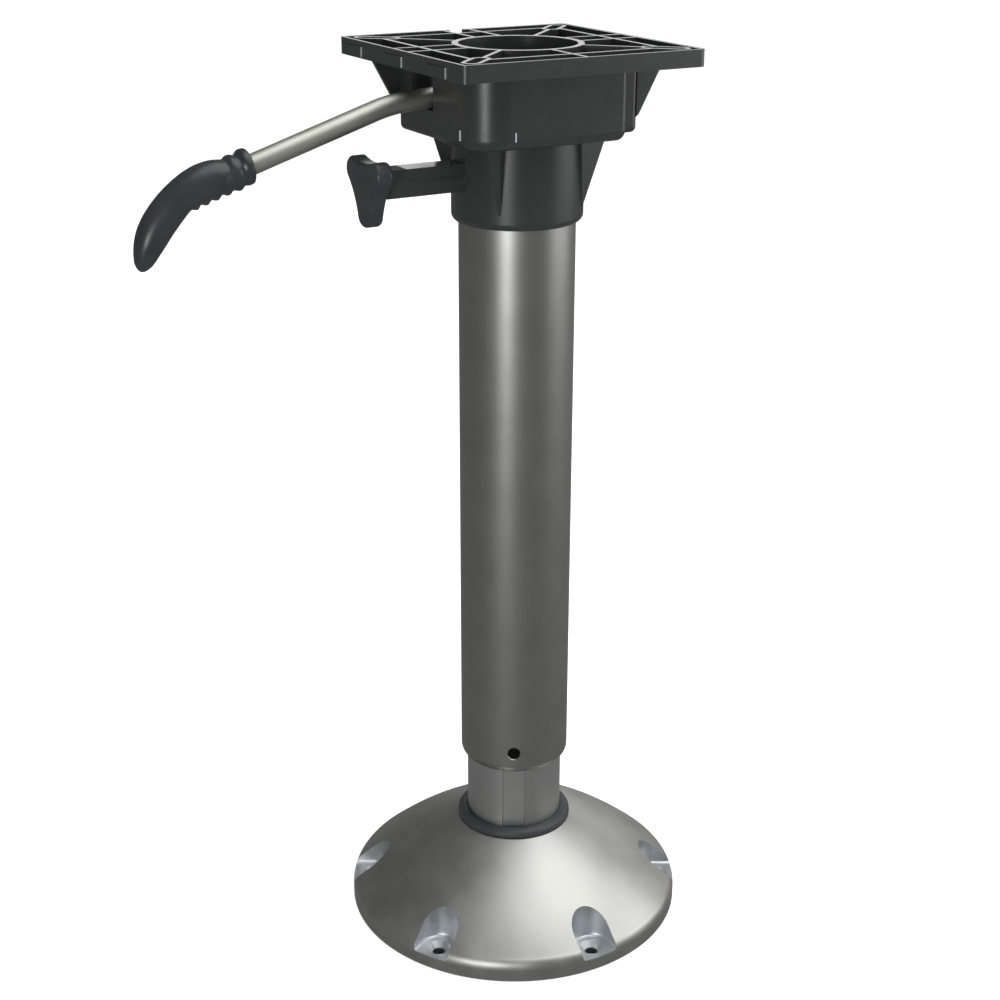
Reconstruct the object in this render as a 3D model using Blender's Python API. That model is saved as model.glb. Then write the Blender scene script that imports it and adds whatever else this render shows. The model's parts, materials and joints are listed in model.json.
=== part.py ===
"""Boat seat pedestal: a gas-lift column on a round cast base, with a swivelling seat mount.

Every piece is a solid of its own. The frame is metres with +Z up, and its origin is the centre of the
base's underside. The seat plate's sides lie along X and Y, and the height lever and the friction knob
point along -X. The column is modelled at its lowest height, with the lever released and the knob tight.
"""

import math

import bmesh
import bpy
from mathutils import Matrix, Vector

MM = 0.001
FRAME_MARK = 20.0 * MM

# Fits between pieces
SEAT_GAP = 0.3 * MM
SLIDE_GAP = 0.3 * MM
OVERCUT = 1.0 * MM
ROOT_BITE = 1.5 * MM

# Round steps
FINE_STEPS = 48
STEPS = 36
SMALL_STEPS = 16

# Base casting
BASE_RADIUS = 114.3 * MM
BASE_RIM_HEIGHT = 7.9 * MM
BASE_SHOULDER_RADIUS = 9.3 * MM
BASE_HUB_TOP_Z = 61.7 * MM
BASE_HUB_TOP_WIDTH = 8.25 * MM
BASE_DOME_BULGE = 3.2 * MM
BASE_WALL = 4.5 * MM
BASE_FOOT_WIDTH = 7.0 * MM
BASE_HUB_WALL = 5.0 * MM
BASE_WEB_THICKNESS = 9.0 * MM
BASE_RIB_THICKNESS = 4.0 * MM
BASE_RIB_HEEL_Z = 2.0 * MM
BASE_TURN = math.radians(1.0)
DECK_SCREW_COUNT = 6
DECK_SCREW_INSET = 12.0 * MM
DECK_SCREW_HOLE_RADIUS = 4.2 * MM
COUNTERSINK_RADIUS = 7.8 * MM
COUNTERSINK_DEPTH = 3.6 * MM
POCKET_RADIUS = 13.0 * MM
POCKET_FLOOR_Z = 9.3 * MM
POCKET_WALL = 3.5 * MM
POCKET_FLOOR_FILLET = 1.2 * MM
POCKET_DRAFT = 1.4 * MM

# Lower tube and what stands in its foot
KEY_ANGLES = (math.radians(-120.0), math.radians(60.0))
BUSH_ROOM = 1.75 * MM
LOWER_TUBE_WALL = 3.6 * MM
CHANNEL_WIDTH = 15.0 * MM
CHANNEL_DEPTH = 1.8 * MM
LOWER_TUBE_TOP_CLEARANCE = 60.0 * MM
FOOT_PLUG_HEIGHT = 24.0 * MM
FOOT_PIN_RADIUS = 3.0 * MM
FOOT_PIN_LENGTH = 19.0 * MM
FOOT_PIN_HEIGHT = 17.0 * MM
BASE_SCREW_COUNT = 4
BASE_SCREW_INSET = 7.65 * MM
BASE_SCREW_RADIUS = 3.0 * MM
BASE_SCREW_HEAD_RADIUS = 5.0 * MM
BASE_SCREW_HEAD_HEIGHT = 4.0 * MM
BASE_SCREW_REACH = 11.0 * MM
BASE_SCREW_RECESS = 4.9 * MM

# Trim ring
RING_HEIGHT = 5.6 * MM
RING_EDGE_HEIGHT = 1.6 * MM
RING_TOP_WIDTH = 1.8 * MM
RING_TONGUE_HEIGHT = 4.4 * MM

# Upper tube
UPPER_TUBE_RADIUS = 36.5 * MM
UPPER_TUBE_WALL = 2.5 * MM
UPPER_TUBE_BOTTOM_Z = 104.0 * MM
LIP_HEIGHT = 8.0 * MM
LIP_WALL = 1.2 * MM
CRIMP_HEIGHT = 12.0 * MM
CRIMP_DEPTH = 1.9 * MM
PEG_HOLE_RADIUS = 4.25 * MM
PEG_HEIGHT = 23.0 * MM

# Guide bushes
BUSH_LENGTH = 34.0 * MM
BUSH_CAP_HEIGHT = 2.2 * MM

# Gas spring
STROKE = 170.0 * MM
CYLINDER_RADIUS = 14.0 * MM
CYLINDER_WALL = 1.6 * MM
CYLINDER_LENGTH = 344.0 * MM
CYLINDER_HEAD = 22.0 * MM
NECK_RADIUS = 10.0 * MM
ROD_RADIUS = 5.0 * MM
ROD_END_RADIUS = 4.0 * MM
ROD_NUT_FLATS = 13.0 * MM
ROD_NUT_HEIGHT = 6.5 * MM
ROD_END_PROUD = 0.5 * MM
ROD_NUT_ROOM = 9.5 * MM
GLAND_LENGTH = 15.0 * MM
PISTON_LENGTH = 12.0 * MM
STROKE_MARGIN = 14.0 * MM
PIN_RADIUS = 3.0 * MM
PIN_TIP_RADIUS = 1.2 * MM
PIN_PROUD = 5.8 * MM
PIN_TRAVEL_ROOM = 5.0 * MM
PIN_LENGTH = 32.0 * MM

# Seat mount: one moulding
PLATE_TOP_Z = 590.0 * MM
PLATE_SIDE = 160.8 * MM
PLATE_CORNER_RADIUS = 4.0 * MM
PLATE_RIM_HEIGHT = 10.0 * MM
PLATE_FLOOR = 3.2 * MM
PLATE_RIM_WALL = 2.7 * MM
PLATE_EDGE = 0.8 * MM
RIB_THICKNESS = 2.5 * MM
RIB_SQUARE_MARGIN = 36.8 * MM
RIB_PAIR_SPACING = 18.0 * MM
SLOT_INSET = 0.4 * MM
SLOT_TRAVEL = 18.0 * MM
SLOT_HALF_WIDTH = 3.5 * MM
SLOT_WALL = 2.4 * MM
RIM_NOTCH_WIDTH = 10.0 * MM
RIM_NOTCH_DEPTH = 4.5 * MM
WELL_STEP = 4.9 * MM
WELL_WALL = 3.8 * MM
HOUSING_HALF_X = 60.2 * MM
HOUSING_SIDE_COVER = 0.1 * MM
HOUSING_BOTTOM = 52.0 * MM
HOUSING_WALL = 3.0 * MM
HOUSING_FILLET = 3.5 * MM
HOUSING_CORNER_RADIUS = 4.0 * MM
BLOCK_STEP = 1.3 * MM
BLOCK_OUTER_Y = 60.0 * MM
BLOCK_INNER = 6.0 * MM
BLOCK_SHORT_SIDE = 40.3 * MM
BLOCK_BOTTOM = 53.0 * MM
BLOCK_FILLET = 6.5 * MM
BLOCK_ROUND_CORNER = 23.0 * MM
GUSSET_INSET = 2.6 * MM
GUSSET_HEEL = 41.0 * MM
GUSSET_THICKNESS = 3.0 * MM
COLLAR_STEP = 4.4 * MM
COLLAR_LENGTH = 106.0 * MM
COLLAR_FILLET = 4.5 * MM
COLLAR_LIP_HEIGHT = 2.4 * MM
COLLAR_LIP = 1.1 * MM
FIN_REACH = 14.1 * MM
FIN_TOP_HALF_WIDTH = 4.0 * MM
FIN_TIP_HALF_WIDTH = 1.0 * MM
FIN_TIP_HEIGHT = 10.0 * MM
LEDGE_THICKNESS = 5.4 * MM
LEDGE_TOP = 37.5 * MM
LEDGE_BORE_GAP = 2.0 * MM
WALL_STEP = 3.5 * MM

# Swivel stack on the tube's top end
SWIVEL_BUSH_WALL = 1.5 * MM
SWIVEL_BUSH_SLIT = 2.0 * MM
SWIVEL_BUSH_LENGTH = 52.0 * MM
THRUST_WASHER_THICKNESS = 2.0 * MM
THRUST_WASHER_WIDTH = 11.5 * MM
TOP_FLANGE_THICKNESS = 3.7 * MM
TOP_PLUG_LENGTH = 25.0 * MM
TOP_PIN_RADIUS = 2.0 * MM
TOP_PIN_LENGTH = 12.0 * MM
TOP_PIN_DROP = 11.0 * MM
RETAINING_WASHER_INSET = 19.0 * MM
RETAINING_WASHER_THICKNESS = 2.0 * MM
NECK_NUT_FLATS = 26.0 * MM
NECK_NUT_HEIGHT = 4.8 * MM
NECK_PROUD = 0.6 * MM

# Height lever
PIVOT_INSET = 10.0 * MM
PIVOT_RISE = 14.6 * MM
PIVOT_PIN_RADIUS = 2.5 * MM
LUG_HALF_LENGTH = 7.0 * MM
LUG_THICKNESS = 4.6 * MM
LUG_SIDE_GAP = 0.4 * MM
CLIP_RADIUS = 5.5 * MM
CLIP_THICKNESS = 1.2 * MM
LEVER_RADIUS = 6.0 * MM
LEVER_TONGUE_X = 4.5 * MM
LEVER_TONGUE_ROOT = 8.5 * MM
LEVER_TONGUE_DROP = 0.5 * MM
LEVER_SHOULDER = 4.0 * MM
LEVER_JOG_X = -52.0 * MM
LEVER_JOG_DROP = 4.8 * MM
LEVER_BEND_X = -86.0 * MM
LEVER_BEND_DROP = 7.5 * MM
LEVER_END_X = -206.0 * MM
LEVER_END_DROP = 45.2 * MM
LEVER_BEND_RADIUS = 90.0 * MM
LEVER_SLOT_NEAR_Y = -7.6 * MM
LEVER_SLOT_FAR_Y = 22.0 * MM
LEVER_SLOT_TOP = 12.0 * MM
LEVER_SLOT_BOTTOM = 35.5 * MM
LEVER_SLOT_DEPTH = 9.0 * MM
LEVER_GATE_BOTTOM = 36.0 * MM

# Lever grip: how far out along -X, and how far below the plate's top, its Bezier spine starts, turns and ends
GRIP_START = (174.0 * MM, 57.9 * MM)
GRIP_KNEE = (232.2 * MM, 69.4 * MM)
GRIP_TIP = (241.0 * MM, 111.5 * MM)
GRIP_STEPS = 20
RIDGE_COUNT = 5
RIDGE_START = 0.048
RIDGE_END = 0.428
RIDGE_HEIGHT = 0.8 * MM

# Friction clamp
KNOB_DROP = 76.6 * MM
KNOB_BOSS_RADIUS = 7.9 * MM
KNOB_BOSS_ROOT = 0.6 * MM
KNOB_BOSS_END_X = -92.3 * MM
KNOB_GAP = 1.3 * MM
KNOB_HUB_RADIUS = 9.6 * MM
KNOB_HUB_LENGTH = 0.8 * MM
KNOB_THICKNESS = 9.6 * MM
KNOB_LOBE_CIRCLE = 17.7 * MM
KNOB_LOBE_RADIUS = 7.3 * MM
KNOB_WEB_RADIUS = 12.5 * MM
KNOB_EDGE = 2.0 * MM
SCREW_RADIUS = 4.0 * MM
SCREW_TIP_RADIUS = 2.6 * MM
SCREW_TIP_LENGTH = 2.4 * MM
SCREW_GRIP_DEPTH = 8.0 * MM
INSERT_RADIUS = 5.6 * MM
INSERT_LENGTH = 18.0 * MM
PAD_RADIUS = 5.5 * MM
PAD_THICKNESS = 4.4 * MM
PAD_TRAVEL_ROOM = 4.0 * MM

# Heights and radii that follow from the sizes above
TUBE_FOOT_Z = BASE_WEB_THICKNESS + SEAT_GAP
ROD_NUT_TOP_Z = TUBE_FOOT_Z + ROD_END_PROUD + SEAT_GAP + ROD_NUT_HEIGHT
DECK_SCREW_CIRCLE = BASE_RADIUS - DECK_SCREW_INSET
LOWER_TUBE_RADIUS = UPPER_TUBE_RADIUS - UPPER_TUBE_WALL - BUSH_ROOM
LOWER_TUBE_BORE = LOWER_TUBE_RADIUS - LOWER_TUBE_WALL
BASE_HUB_TOP_RADIUS = LOWER_TUBE_RADIUS + BASE_HUB_TOP_WIDTH
BASE_SCREW_CIRCLE = LOWER_TUBE_BORE - BASE_SCREW_INSET
CHANNEL_FLOOR = LOWER_TUBE_RADIUS - CHANNEL_DEPTH
SOCKET_RADIUS = LOWER_TUBE_RADIUS + SEAT_GAP
UPPER_TUBE_BORE = UPPER_TUBE_RADIUS - UPPER_TUBE_WALL
KEY_HALF_WIDTH = CHANNEL_WIDTH / 2 - SLIDE_GAP
KEY_INNER = CHANNEL_FLOOR + SLIDE_GAP
BUSH_INNER = LOWER_TUBE_RADIUS + SLIDE_GAP
BUSH_OUTER = UPPER_TUBE_BORE - SLIDE_GAP

LEDGE_TOP_Z = PLATE_TOP_Z - LEDGE_TOP
LEDGE_BOTTOM_Z = LEDGE_TOP_Z - LEDGE_THICKNESS
THRUST_TOP_Z = LEDGE_BOTTOM_Z - SEAT_GAP
THRUST_BOTTOM_Z = THRUST_TOP_Z - THRUST_WASHER_THICKNESS
FLANGE_TOP_Z = THRUST_BOTTOM_Z - SEAT_GAP
FLANGE_BOTTOM_Z = FLANGE_TOP_Z - TOP_FLANGE_THICKNESS
UPPER_TUBE_TOP_Z = FLANGE_BOTTOM_Z - SEAT_GAP
TOP_PLUG_BOTTOM_Z = UPPER_TUBE_TOP_Z - TOP_PLUG_LENGTH
WASHER_BOTTOM_Z = LEDGE_TOP_Z + SEAT_GAP
WASHER_TOP_Z = WASHER_BOTTOM_Z + RETAINING_WASHER_THICKNESS
NECK_NUT_BOTTOM_Z = WASHER_TOP_Z + SEAT_GAP
NECK_NUT_TOP_Z = NECK_NUT_BOTTOM_Z + NECK_NUT_HEIGHT
NECK_TOP_Z = NECK_NUT_TOP_Z + NECK_PROUD
PIN_TOP_Z = NECK_TOP_Z + PIN_PROUD
CYLINDER_TOP_Z = TOP_PLUG_BOTTOM_Z - SEAT_GAP
CYLINDER_BOTTOM_Z = CYLINDER_TOP_Z - CYLINDER_LENGTH
CYLINDER_BORE = CYLINDER_RADIUS - CYLINDER_WALL
PISTON_BOTTOM_Z = CYLINDER_BOTTOM_Z + GLAND_LENGTH + STROKE + STROKE_MARGIN
LOWER_TUBE_TOP_Z = TOP_PLUG_BOTTOM_Z - LOWER_TUBE_TOP_CLEARANCE

PLATE_BOTTOM_Z = PLATE_TOP_Z - PLATE_RIM_HEIGHT
PLATE_FLOOR_Z = PLATE_BOTTOM_Z + PLATE_FLOOR
HOUSING_BOTTOM_Z = PLATE_TOP_Z - HOUSING_BOTTOM
BLOCK_BOTTOM_Z = PLATE_TOP_Z - BLOCK_BOTTOM
COLLAR_BOTTOM_Z = PLATE_TOP_Z - COLLAR_LENGTH
COLLAR_RADIUS = UPPER_TUBE_RADIUS + COLLAR_STEP
FIN_TOP_RADIUS = COLLAR_RADIUS + FIN_REACH
WELL_RADIUS = COLLAR_RADIUS - WELL_STEP
HOUSING_HALF_Y = COLLAR_RADIUS + HOUSING_SIDE_COVER
BLOCK_OUTER_X = HOUSING_HALF_X + BLOCK_STEP
GUSSET_REACH = PLATE_SIDE / 2 - GUSSET_INSET
RIB_SQUARE_SIDE = PLATE_SIDE - RIB_SQUARE_MARGIN
SLOT_INNER_RADIUS = PLATE_SIDE / 2 - SLOT_INSET
SLOT_OUTER_RADIUS = SLOT_INNER_RADIUS + SLOT_TRAVEL
THRUST_WASHER_BORE = UPPER_TUBE_RADIUS - THRUST_WASHER_WIDTH
RETAINING_WASHER_RADIUS = WELL_RADIUS - RETAINING_WASHER_INSET
SWIVEL_BUSH_INNER = UPPER_TUBE_RADIUS + SLIDE_GAP
SWIVEL_BUSH_OUTER = SWIVEL_BUSH_INNER + SWIVEL_BUSH_WALL
COLLAR_BORE = SWIVEL_BUSH_OUTER + SEAT_GAP
SWIVEL_BUSH_BOTTOM_Z = COLLAR_BOTTOM_Z + COLLAR_LIP_HEIGHT + SEAT_GAP
WELL_OUTER = WELL_RADIUS + WELL_WALL

PIVOT_X = PIVOT_INSET - WELL_RADIUS
PIVOT_Z = LEDGE_TOP_Z + PIVOT_RISE
KNOB_Z = PLATE_TOP_Z - KNOB_DROP
LUG_INNER_Y = LEVER_RADIUS + LUG_SIDE_GAP
LUG_OUTER_Y = LUG_INNER_Y + LUG_THICKNESS
KNOB_BACK_X = KNOB_BOSS_END_X - KNOB_GAP
PAD_FACE_X = -(UPPER_TUBE_RADIUS + SEAT_GAP)
PAD_BACK_X = PAD_FACE_X - PAD_THICKNESS
SCREW_TIP_X = PAD_BACK_X + SCREW_TIP_LENGTH - SEAT_GAP

# Finishes: colour, roughness, metallic
CAST_SATIN = ((0.62, 0.62, 0.59), 0.38, 1.0)
TUBE_SATIN = ((0.55, 0.55, 0.50), 0.34, 1.0)
BLACK_MOULDING = ((0.040, 0.042, 0.041), 0.50, 0.0)
BLACK_GRIP = ((0.035, 0.037, 0.038), 0.62, 0.0)
GREY_NYLON = ((0.30, 0.30, 0.29), 0.55, 0.0)
DARK_NYLON = ((0.06, 0.06, 0.06), 0.50, 0.0)
ZINC_STEEL = ((0.62, 0.62, 0.64), 0.30, 1.0)
BRIGHT_ROD = ((0.78, 0.78, 0.80), 0.12, 1.0)
BLACK_STEEL = ((0.05, 0.05, 0.055), 0.35, 1.0)
LEVER_SATIN = ((0.60, 0.61, 0.56), 0.36, 1.0)
BRASS = ((0.72, 0.55, 0.26), 0.30, 1.0)


def clear_scene():
    """Removes whatever the startup file holds."""
    for old in list(bpy.data.objects):
        bpy.data.objects.remove(old, do_unlink=True)


def joint_frame(name, at=(0.0, 0.0, 0.0)):
    """An empty on a joint's axis, which the joint's pieces are parented to."""
    frame = bpy.data.objects.new(name, None)
    frame.empty_display_size = FRAME_MARK
    frame.location = at
    bpy.context.scene.collection.objects.link(frame)
    return frame


def finish(name, look):
    """A Principled material from one of the finishes above."""
    colour, roughness, metallic = look
    material = bpy.data.materials.new(name)
    material.use_nodes = True
    shader = material.node_tree.nodes["Principled BSDF"]
    shader.inputs["Base Color"].default_value = (*colour, 1.0)
    shader.inputs["Roughness"].default_value = roughness
    shader.inputs["Metallic"].default_value = metallic
    return material


def node(name, shape, frame, look=None):
    """Links a bmesh, whose points are in the part's own frame, as an object under its joint's empty."""
    bmesh.ops.recalc_face_normals(shape, faces=shape.faces)
    bmesh.ops.translate(shape, verts=shape.verts, vec=-frame.location)
    mesh = bpy.data.meshes.new(name)
    shape.to_mesh(mesh)
    shape.free()
    mesh.shade_smooth()
    mesh.set_sharp_from_angle(angle=math.radians(35))
    thing = bpy.data.objects.new(name, mesh)
    thing.parent = frame
    bpy.context.scene.collection.objects.link(thing)
    if look:
        mesh.materials.append(finish(name, look))
    return thing


def tool(name, shape, frame):
    """A cutter or an added form, which isn't drawn by itself."""
    helper = node(name, shape, frame)
    helper.hide_render = True
    helper.display_type = "WIRE"
    return helper


def combine(target, helper, operation):
    """One Boolean modifier on the target."""
    modifier = target.modifiers.new(helper.name, "BOOLEAN")
    modifier.operation = operation
    modifier.solver = "EXACT"
    modifier.object = helper


def cut(target, name, shape, frame):
    combine(target, tool(name, shape, frame), "DIFFERENCE")


def add(target, name, shape, frame):
    combine(target, tool(name, shape, frame), "UNION")


def face_ring(shape, lower, upper):
    """Quads between two rings of points that have the same count."""
    count = len(lower)
    for i in range(count):
        j = (i + 1) % count
        shape.faces.new((lower[i], lower[j], upper[j], upper[i]))


def turned(profile, steps=STEPS, closed=True):
    """Revolves (radius, height) points round Z: a ring from a closed profile, a solid from an open one."""
    shape = bmesh.new()
    turns = [math.tau * k / steps for k in range(steps)]
    rings = [
        [shape.verts.new((radius * math.cos(a), radius * math.sin(a), height)) for a in turns]
        for radius, height in profile
        if radius > 0
    ]
    pairs = zip(rings, rings[1:] + rings[:1]) if closed else zip(rings, rings[1:])
    for lower, upper in pairs:
        face_ring(shape, lower, upper)
    if not closed:
        shape.faces.new(rings[0])
        shape.faces.new(rings[-1])
    return shape


def disc_shape(radius, bottom, top, steps=STEPS):
    """A solid cylinder on Z."""
    return turned([(0, bottom), (radius, bottom), (radius, top), (0, top)], steps, closed=False)


def ring_shape(inner, outer, bottom, top, steps=STEPS):
    """A plain ring on Z."""
    return turned([(inner, bottom), (outer, bottom), (outer, top), (inner, top)], steps)


def loft(rings):
    """A closed solid through rings of points that all have the same count, with flat ends."""
    shape = bmesh.new()
    loops = [[shape.verts.new(point) for point in ring] for ring in rings]
    for lower, upper in zip(loops, loops[1:]):
        face_ring(shape, lower, upper)
    shape.faces.new(loops[0])
    shape.faces.new(loops[-1])
    return shape


def prism(outline, bottom, top):
    """A flat outline raised from one height to another."""
    return loft([[(x, y, z) for x, y in outline] for z in (bottom, top)])


def block(low, high):
    """A box between two corners."""
    (x0, y0, z0), (x1, y1, z1) = low, high
    return prism([(x0, y0), (x1, y0), (x1, y1), (x0, y1)], z0, z1)


def merged(*shapes):
    """Several bmeshes that don't touch, as one."""
    whole = shapes[0]
    for other in shapes[1:]:
        carrier = bpy.data.meshes.new("carrier")
        other.to_mesh(carrier)
        whole.from_mesh(carrier)
        bpy.data.meshes.remove(carrier)
        other.free()
    return whole


def rotated(shape, angle):
    """Turns a shape about Z."""
    bmesh.ops.transform(shape, matrix=Matrix.Rotation(angle, 4, "Z"), verts=shape.verts)
    return shape


def aimed(shape, direction, at):
    """Turns a shape's +Z to a direction and moves its origin to a point."""
    turn = Vector(direction).to_track_quat("Z", "Y").to_matrix().to_4x4()
    bmesh.ops.transform(shape, matrix=Matrix.Translation(at) @ turn, verts=shape.verts)
    return shape


def rounded_outline(corners, radii, inset=0.0, steps=4):
    """A polygon, listed anticlockwise, moved in by an inset, with an arc of the given radius at each corner."""
    outline = []
    least = 0.3 * MM
    count = len(corners)
    for i, corner in enumerate(corners):
        here = Vector(corner)
        back = (Vector(corners[i - 1]) - here).normalized()
        ahead = (Vector(corners[(i + 1) % count]) - here).normalized()
        middle = (back + ahead).normalized()
        half = back.angle(ahead) / 2
        here = here + middle * inset / math.sin(half)
        radius = max(radii[i] - inset, least)
        centre = here + middle * radius / math.sin(half)
        first = math.atan2(-middle.y, -middle.x) - (math.pi / 2 - half)
        for k in range(steps + 1):
            angle = first + (math.pi - 2 * half) * k / steps
            outline.append((centre.x + radius * math.cos(angle), centre.y + radius * math.sin(angle)))
    return outline


def filleted_block(corners, radii, bottom, top, fillet):
    """An upright block with rounded corners whose bottom edge has a fillet."""
    rings = []
    steps = 3
    for k in range(steps + 1):
        angle = math.pi / 2 * k / steps
        inset = fillet * (1 - math.sin(angle))
        height = bottom + fillet * (1 - math.cos(angle))
        rings.append([(x, y, height) for x, y in rounded_outline(corners, radii, inset)])
    rings.append([(x, y, top) for x, y in rounded_outline(corners, radii)])
    return loft(rings)


def slot_outline(inner, outer, half_width, steps=8):
    """A slot along +X with round ends, from the centre of one end to the centre of the other."""
    points = []
    for centre, first in ((outer, -math.pi / 2), (inner, math.pi / 2)):
        for k in range(steps + 1):
            angle = first + math.pi * k / steps
            points.append((centre + half_width * math.cos(angle), half_width * math.sin(angle)))
    return points


def hexagon(flats, bottom, top):
    """A hexagonal bar on Z, by its width across flats."""
    corner = flats / math.sqrt(3)
    outline = [(corner * math.cos(k * math.pi / 3), corner * math.sin(k * math.pi / 3)) for k in range(6)]
    return prism(outline, bottom, top)


def keyed_boxes(inner, outer, half_width, bottom, top):
    """One box at each key angle, between two distances from the axis."""
    boxes = [rotated(block((inner, -half_width, bottom), (outer, half_width, top)), a) for a in KEY_ANGLES]
    return merged(*boxes)


def dome_profile():
    """The base's outside as (radius, height) points, from the floor up to the hub."""
    centre = Vector((BASE_RADIUS - BASE_SHOULDER_RADIUS, BASE_RIM_HEIGHT))
    top = Vector((BASE_HUB_TOP_RADIUS, BASE_HUB_TOP_Z))
    run = top - centre
    normal = math.atan2(run.y, run.x) - math.acos(BASE_SHOULDER_RADIUS / run.length)
    outward = Vector((math.cos(normal), math.sin(normal)))
    shoulder_steps = 4
    points = [(BASE_RADIUS, 0.0)]
    for k in range(shoulder_steps + 1):
        angle = normal * k / shoulder_steps
        points.append(tuple(centre + BASE_SHOULDER_RADIUS * Vector((math.cos(angle), math.sin(angle)))))
    start = Vector(points[-1])
    slope_steps = 5
    for k in range(1, slope_steps + 1):
        t = k / slope_steps
        points.append(tuple(start.lerp(top, t) + outward * BASE_DOME_BULGE * 4 * t * (1 - t)))
    return points


def dome_inside():
    """The dome's outside moved in by the wall, from the foot's inner edge up to the hub's wall."""
    outside = [Vector(p) for p in dome_profile()]
    foot = BASE_RADIUS - BASE_FOOT_WIDTH
    hub = SOCKET_RADIUS + BASE_HUB_WALL
    moved = []
    for before, here, after in zip(outside, outside[1:], outside[2:]):
        along = (after - before).normalized()
        moved.append(here + Vector((-along.y, along.x)) * BASE_WALL)
    inside = [(foot, -OVERCUT)]
    for before, here in zip(moved, moved[1:]):
        if here.x < foot <= before.x:
            corner = before.lerp(here, (before.x - foot) / (before.x - here.x))
            inside.append((foot, corner.y))
        if hub + BASE_WALL < here.x < foot - ROOT_BITE:
            inside.append((here.x, here.y))
    return [*inside, (hub, inside[-1][1]), (hub, -OVERCUT)]


def pocket_outline(radius):
    """A pocket's plan along +X: round at its inner end, and open past the rim."""
    return slot_outline(DECK_SCREW_CIRCLE, BASE_RADIUS + 2 * radius, radius)


def base_pockets():
    """The six screw pockets, with a small fillet at the floor and some draft."""
    pockets = []
    levels = [
        (0.0, -POCKET_FLOOR_FILLET),
        (0.3 * POCKET_FLOOR_FILLET, -0.3 * POCKET_FLOOR_FILLET),
        (POCKET_FLOOR_FILLET, 0.0),
        (BASE_HUB_TOP_Z - POCKET_FLOOR_Z, POCKET_DRAFT),
    ]
    for k in range(DECK_SCREW_COUNT):
        rings = [[(x, y, POCKET_FLOOR_Z + up) for x, y in pocket_outline(POCKET_RADIUS + out)] for up, out in levels]
        pockets.append(rotated(loft(rings), deck_screw_angle(k)))
    return merged(*pockets)


def deck_screw_angle(k):
    """The angle of one deck screw. One lies on -Y, turned by the casting's own small turn."""
    return BASE_TURN - math.pi / 2 + math.tau * k / DECK_SCREW_COUNT


def make_base_casting(frame):
    """Turned dome, hollow underneath, with a socket, ribs and a thick boss under each screw pocket."""
    profile = [
        (0, 0),
        *dome_profile(),
        (SOCKET_RADIUS, BASE_HUB_TOP_Z),
        (SOCKET_RADIUS, BASE_WEB_THICKNESS),
        (0, BASE_WEB_THICKNESS),
    ]
    casting = node("base_casting", turned(profile, FINE_STEPS, False), frame, CAST_SATIN)
    hollow = tool("base_hollow", turned(dome_inside(), FINE_STEPS), frame)
    boss_radius = POCKET_RADIUS + POCKET_DRAFT + POCKET_WALL
    bosses = [
        rotated(prism(pocket_outline(boss_radius), -2 * OVERCUT, BASE_HUB_TOP_Z), deck_screw_angle(k))
        for k in range(DECK_SCREW_COUNT)
    ]
    cut(hollow, "pocket_bosses", merged(*bosses), frame)
    ribs = []
    for k in range(DECK_SCREW_COUNT):
        rib = block(
            (SOCKET_RADIUS, -BASE_RIB_THICKNESS / 2, BASE_RIB_HEEL_Z),
            (DECK_SCREW_CIRCLE - POCKET_RADIUS, BASE_RIB_THICKNESS / 2, BASE_HUB_TOP_Z + OVERCUT),
        )
        ribs.append(rotated(rib, deck_screw_angle(k)))
    cut(hollow, "base_ribs", merged(*ribs), frame)
    combine(casting, hollow, "DIFFERENCE")
    cut(casting, "base_pockets", base_pockets(), frame)
    holes = []
    for k in range(DECK_SCREW_COUNT):
        seat = POCKET_FLOOR_Z - COUNTERSINK_DEPTH
        flare = COUNTERSINK_RADIUS + (COUNTERSINK_RADIUS - DECK_SCREW_HOLE_RADIUS) * OVERCUT / COUNTERSINK_DEPTH
        hole = turned(
            [
                (0, -OVERCUT),
                (DECK_SCREW_HOLE_RADIUS, -OVERCUT),
                (DECK_SCREW_HOLE_RADIUS, seat),
                (flare, POCKET_FLOOR_Z + OVERCUT),
                (0, POCKET_FLOOR_Z + OVERCUT),
            ],
            SMALL_STEPS,
            False,
        )
        angle = deck_screw_angle(k)
        at = Vector((DECK_SCREW_CIRCLE * math.cos(angle), DECK_SCREW_CIRCLE * math.sin(angle), 0))
        holes.append(aimed(hole, (0, 0, 1), at))
    cut(casting, "deck_screw_holes", merged(*holes), frame)
    counterbores = []
    for at in base_screw_places():
        profile = [
            (0, -OVERCUT),
            (BASE_SCREW_HEAD_RADIUS + 2 * SEAT_GAP, -OVERCUT),
            (BASE_SCREW_HEAD_RADIUS + 2 * SEAT_GAP, BASE_SCREW_RECESS),
            (BASE_SCREW_RADIUS + SEAT_GAP, BASE_SCREW_RECESS),
            (BASE_SCREW_RADIUS + SEAT_GAP, BASE_WEB_THICKNESS + OVERCUT),
            (0, BASE_WEB_THICKNESS + OVERCUT),
        ]
        counterbores.append(aimed(turned(profile, SMALL_STEPS, False), (0, 0, 1), at))
    cut(casting, "base_screw_holes", merged(*counterbores), frame)


def base_screw_places():
    """The axes of the screws that hold the tube's foot plug down."""
    turns = [math.pi / 4 + math.tau * k / BASE_SCREW_COUNT for k in range(BASE_SCREW_COUNT)]
    return [Vector((BASE_SCREW_CIRCLE * math.cos(a), BASE_SCREW_CIRCLE * math.sin(a), 0)) for a in turns]


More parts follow.
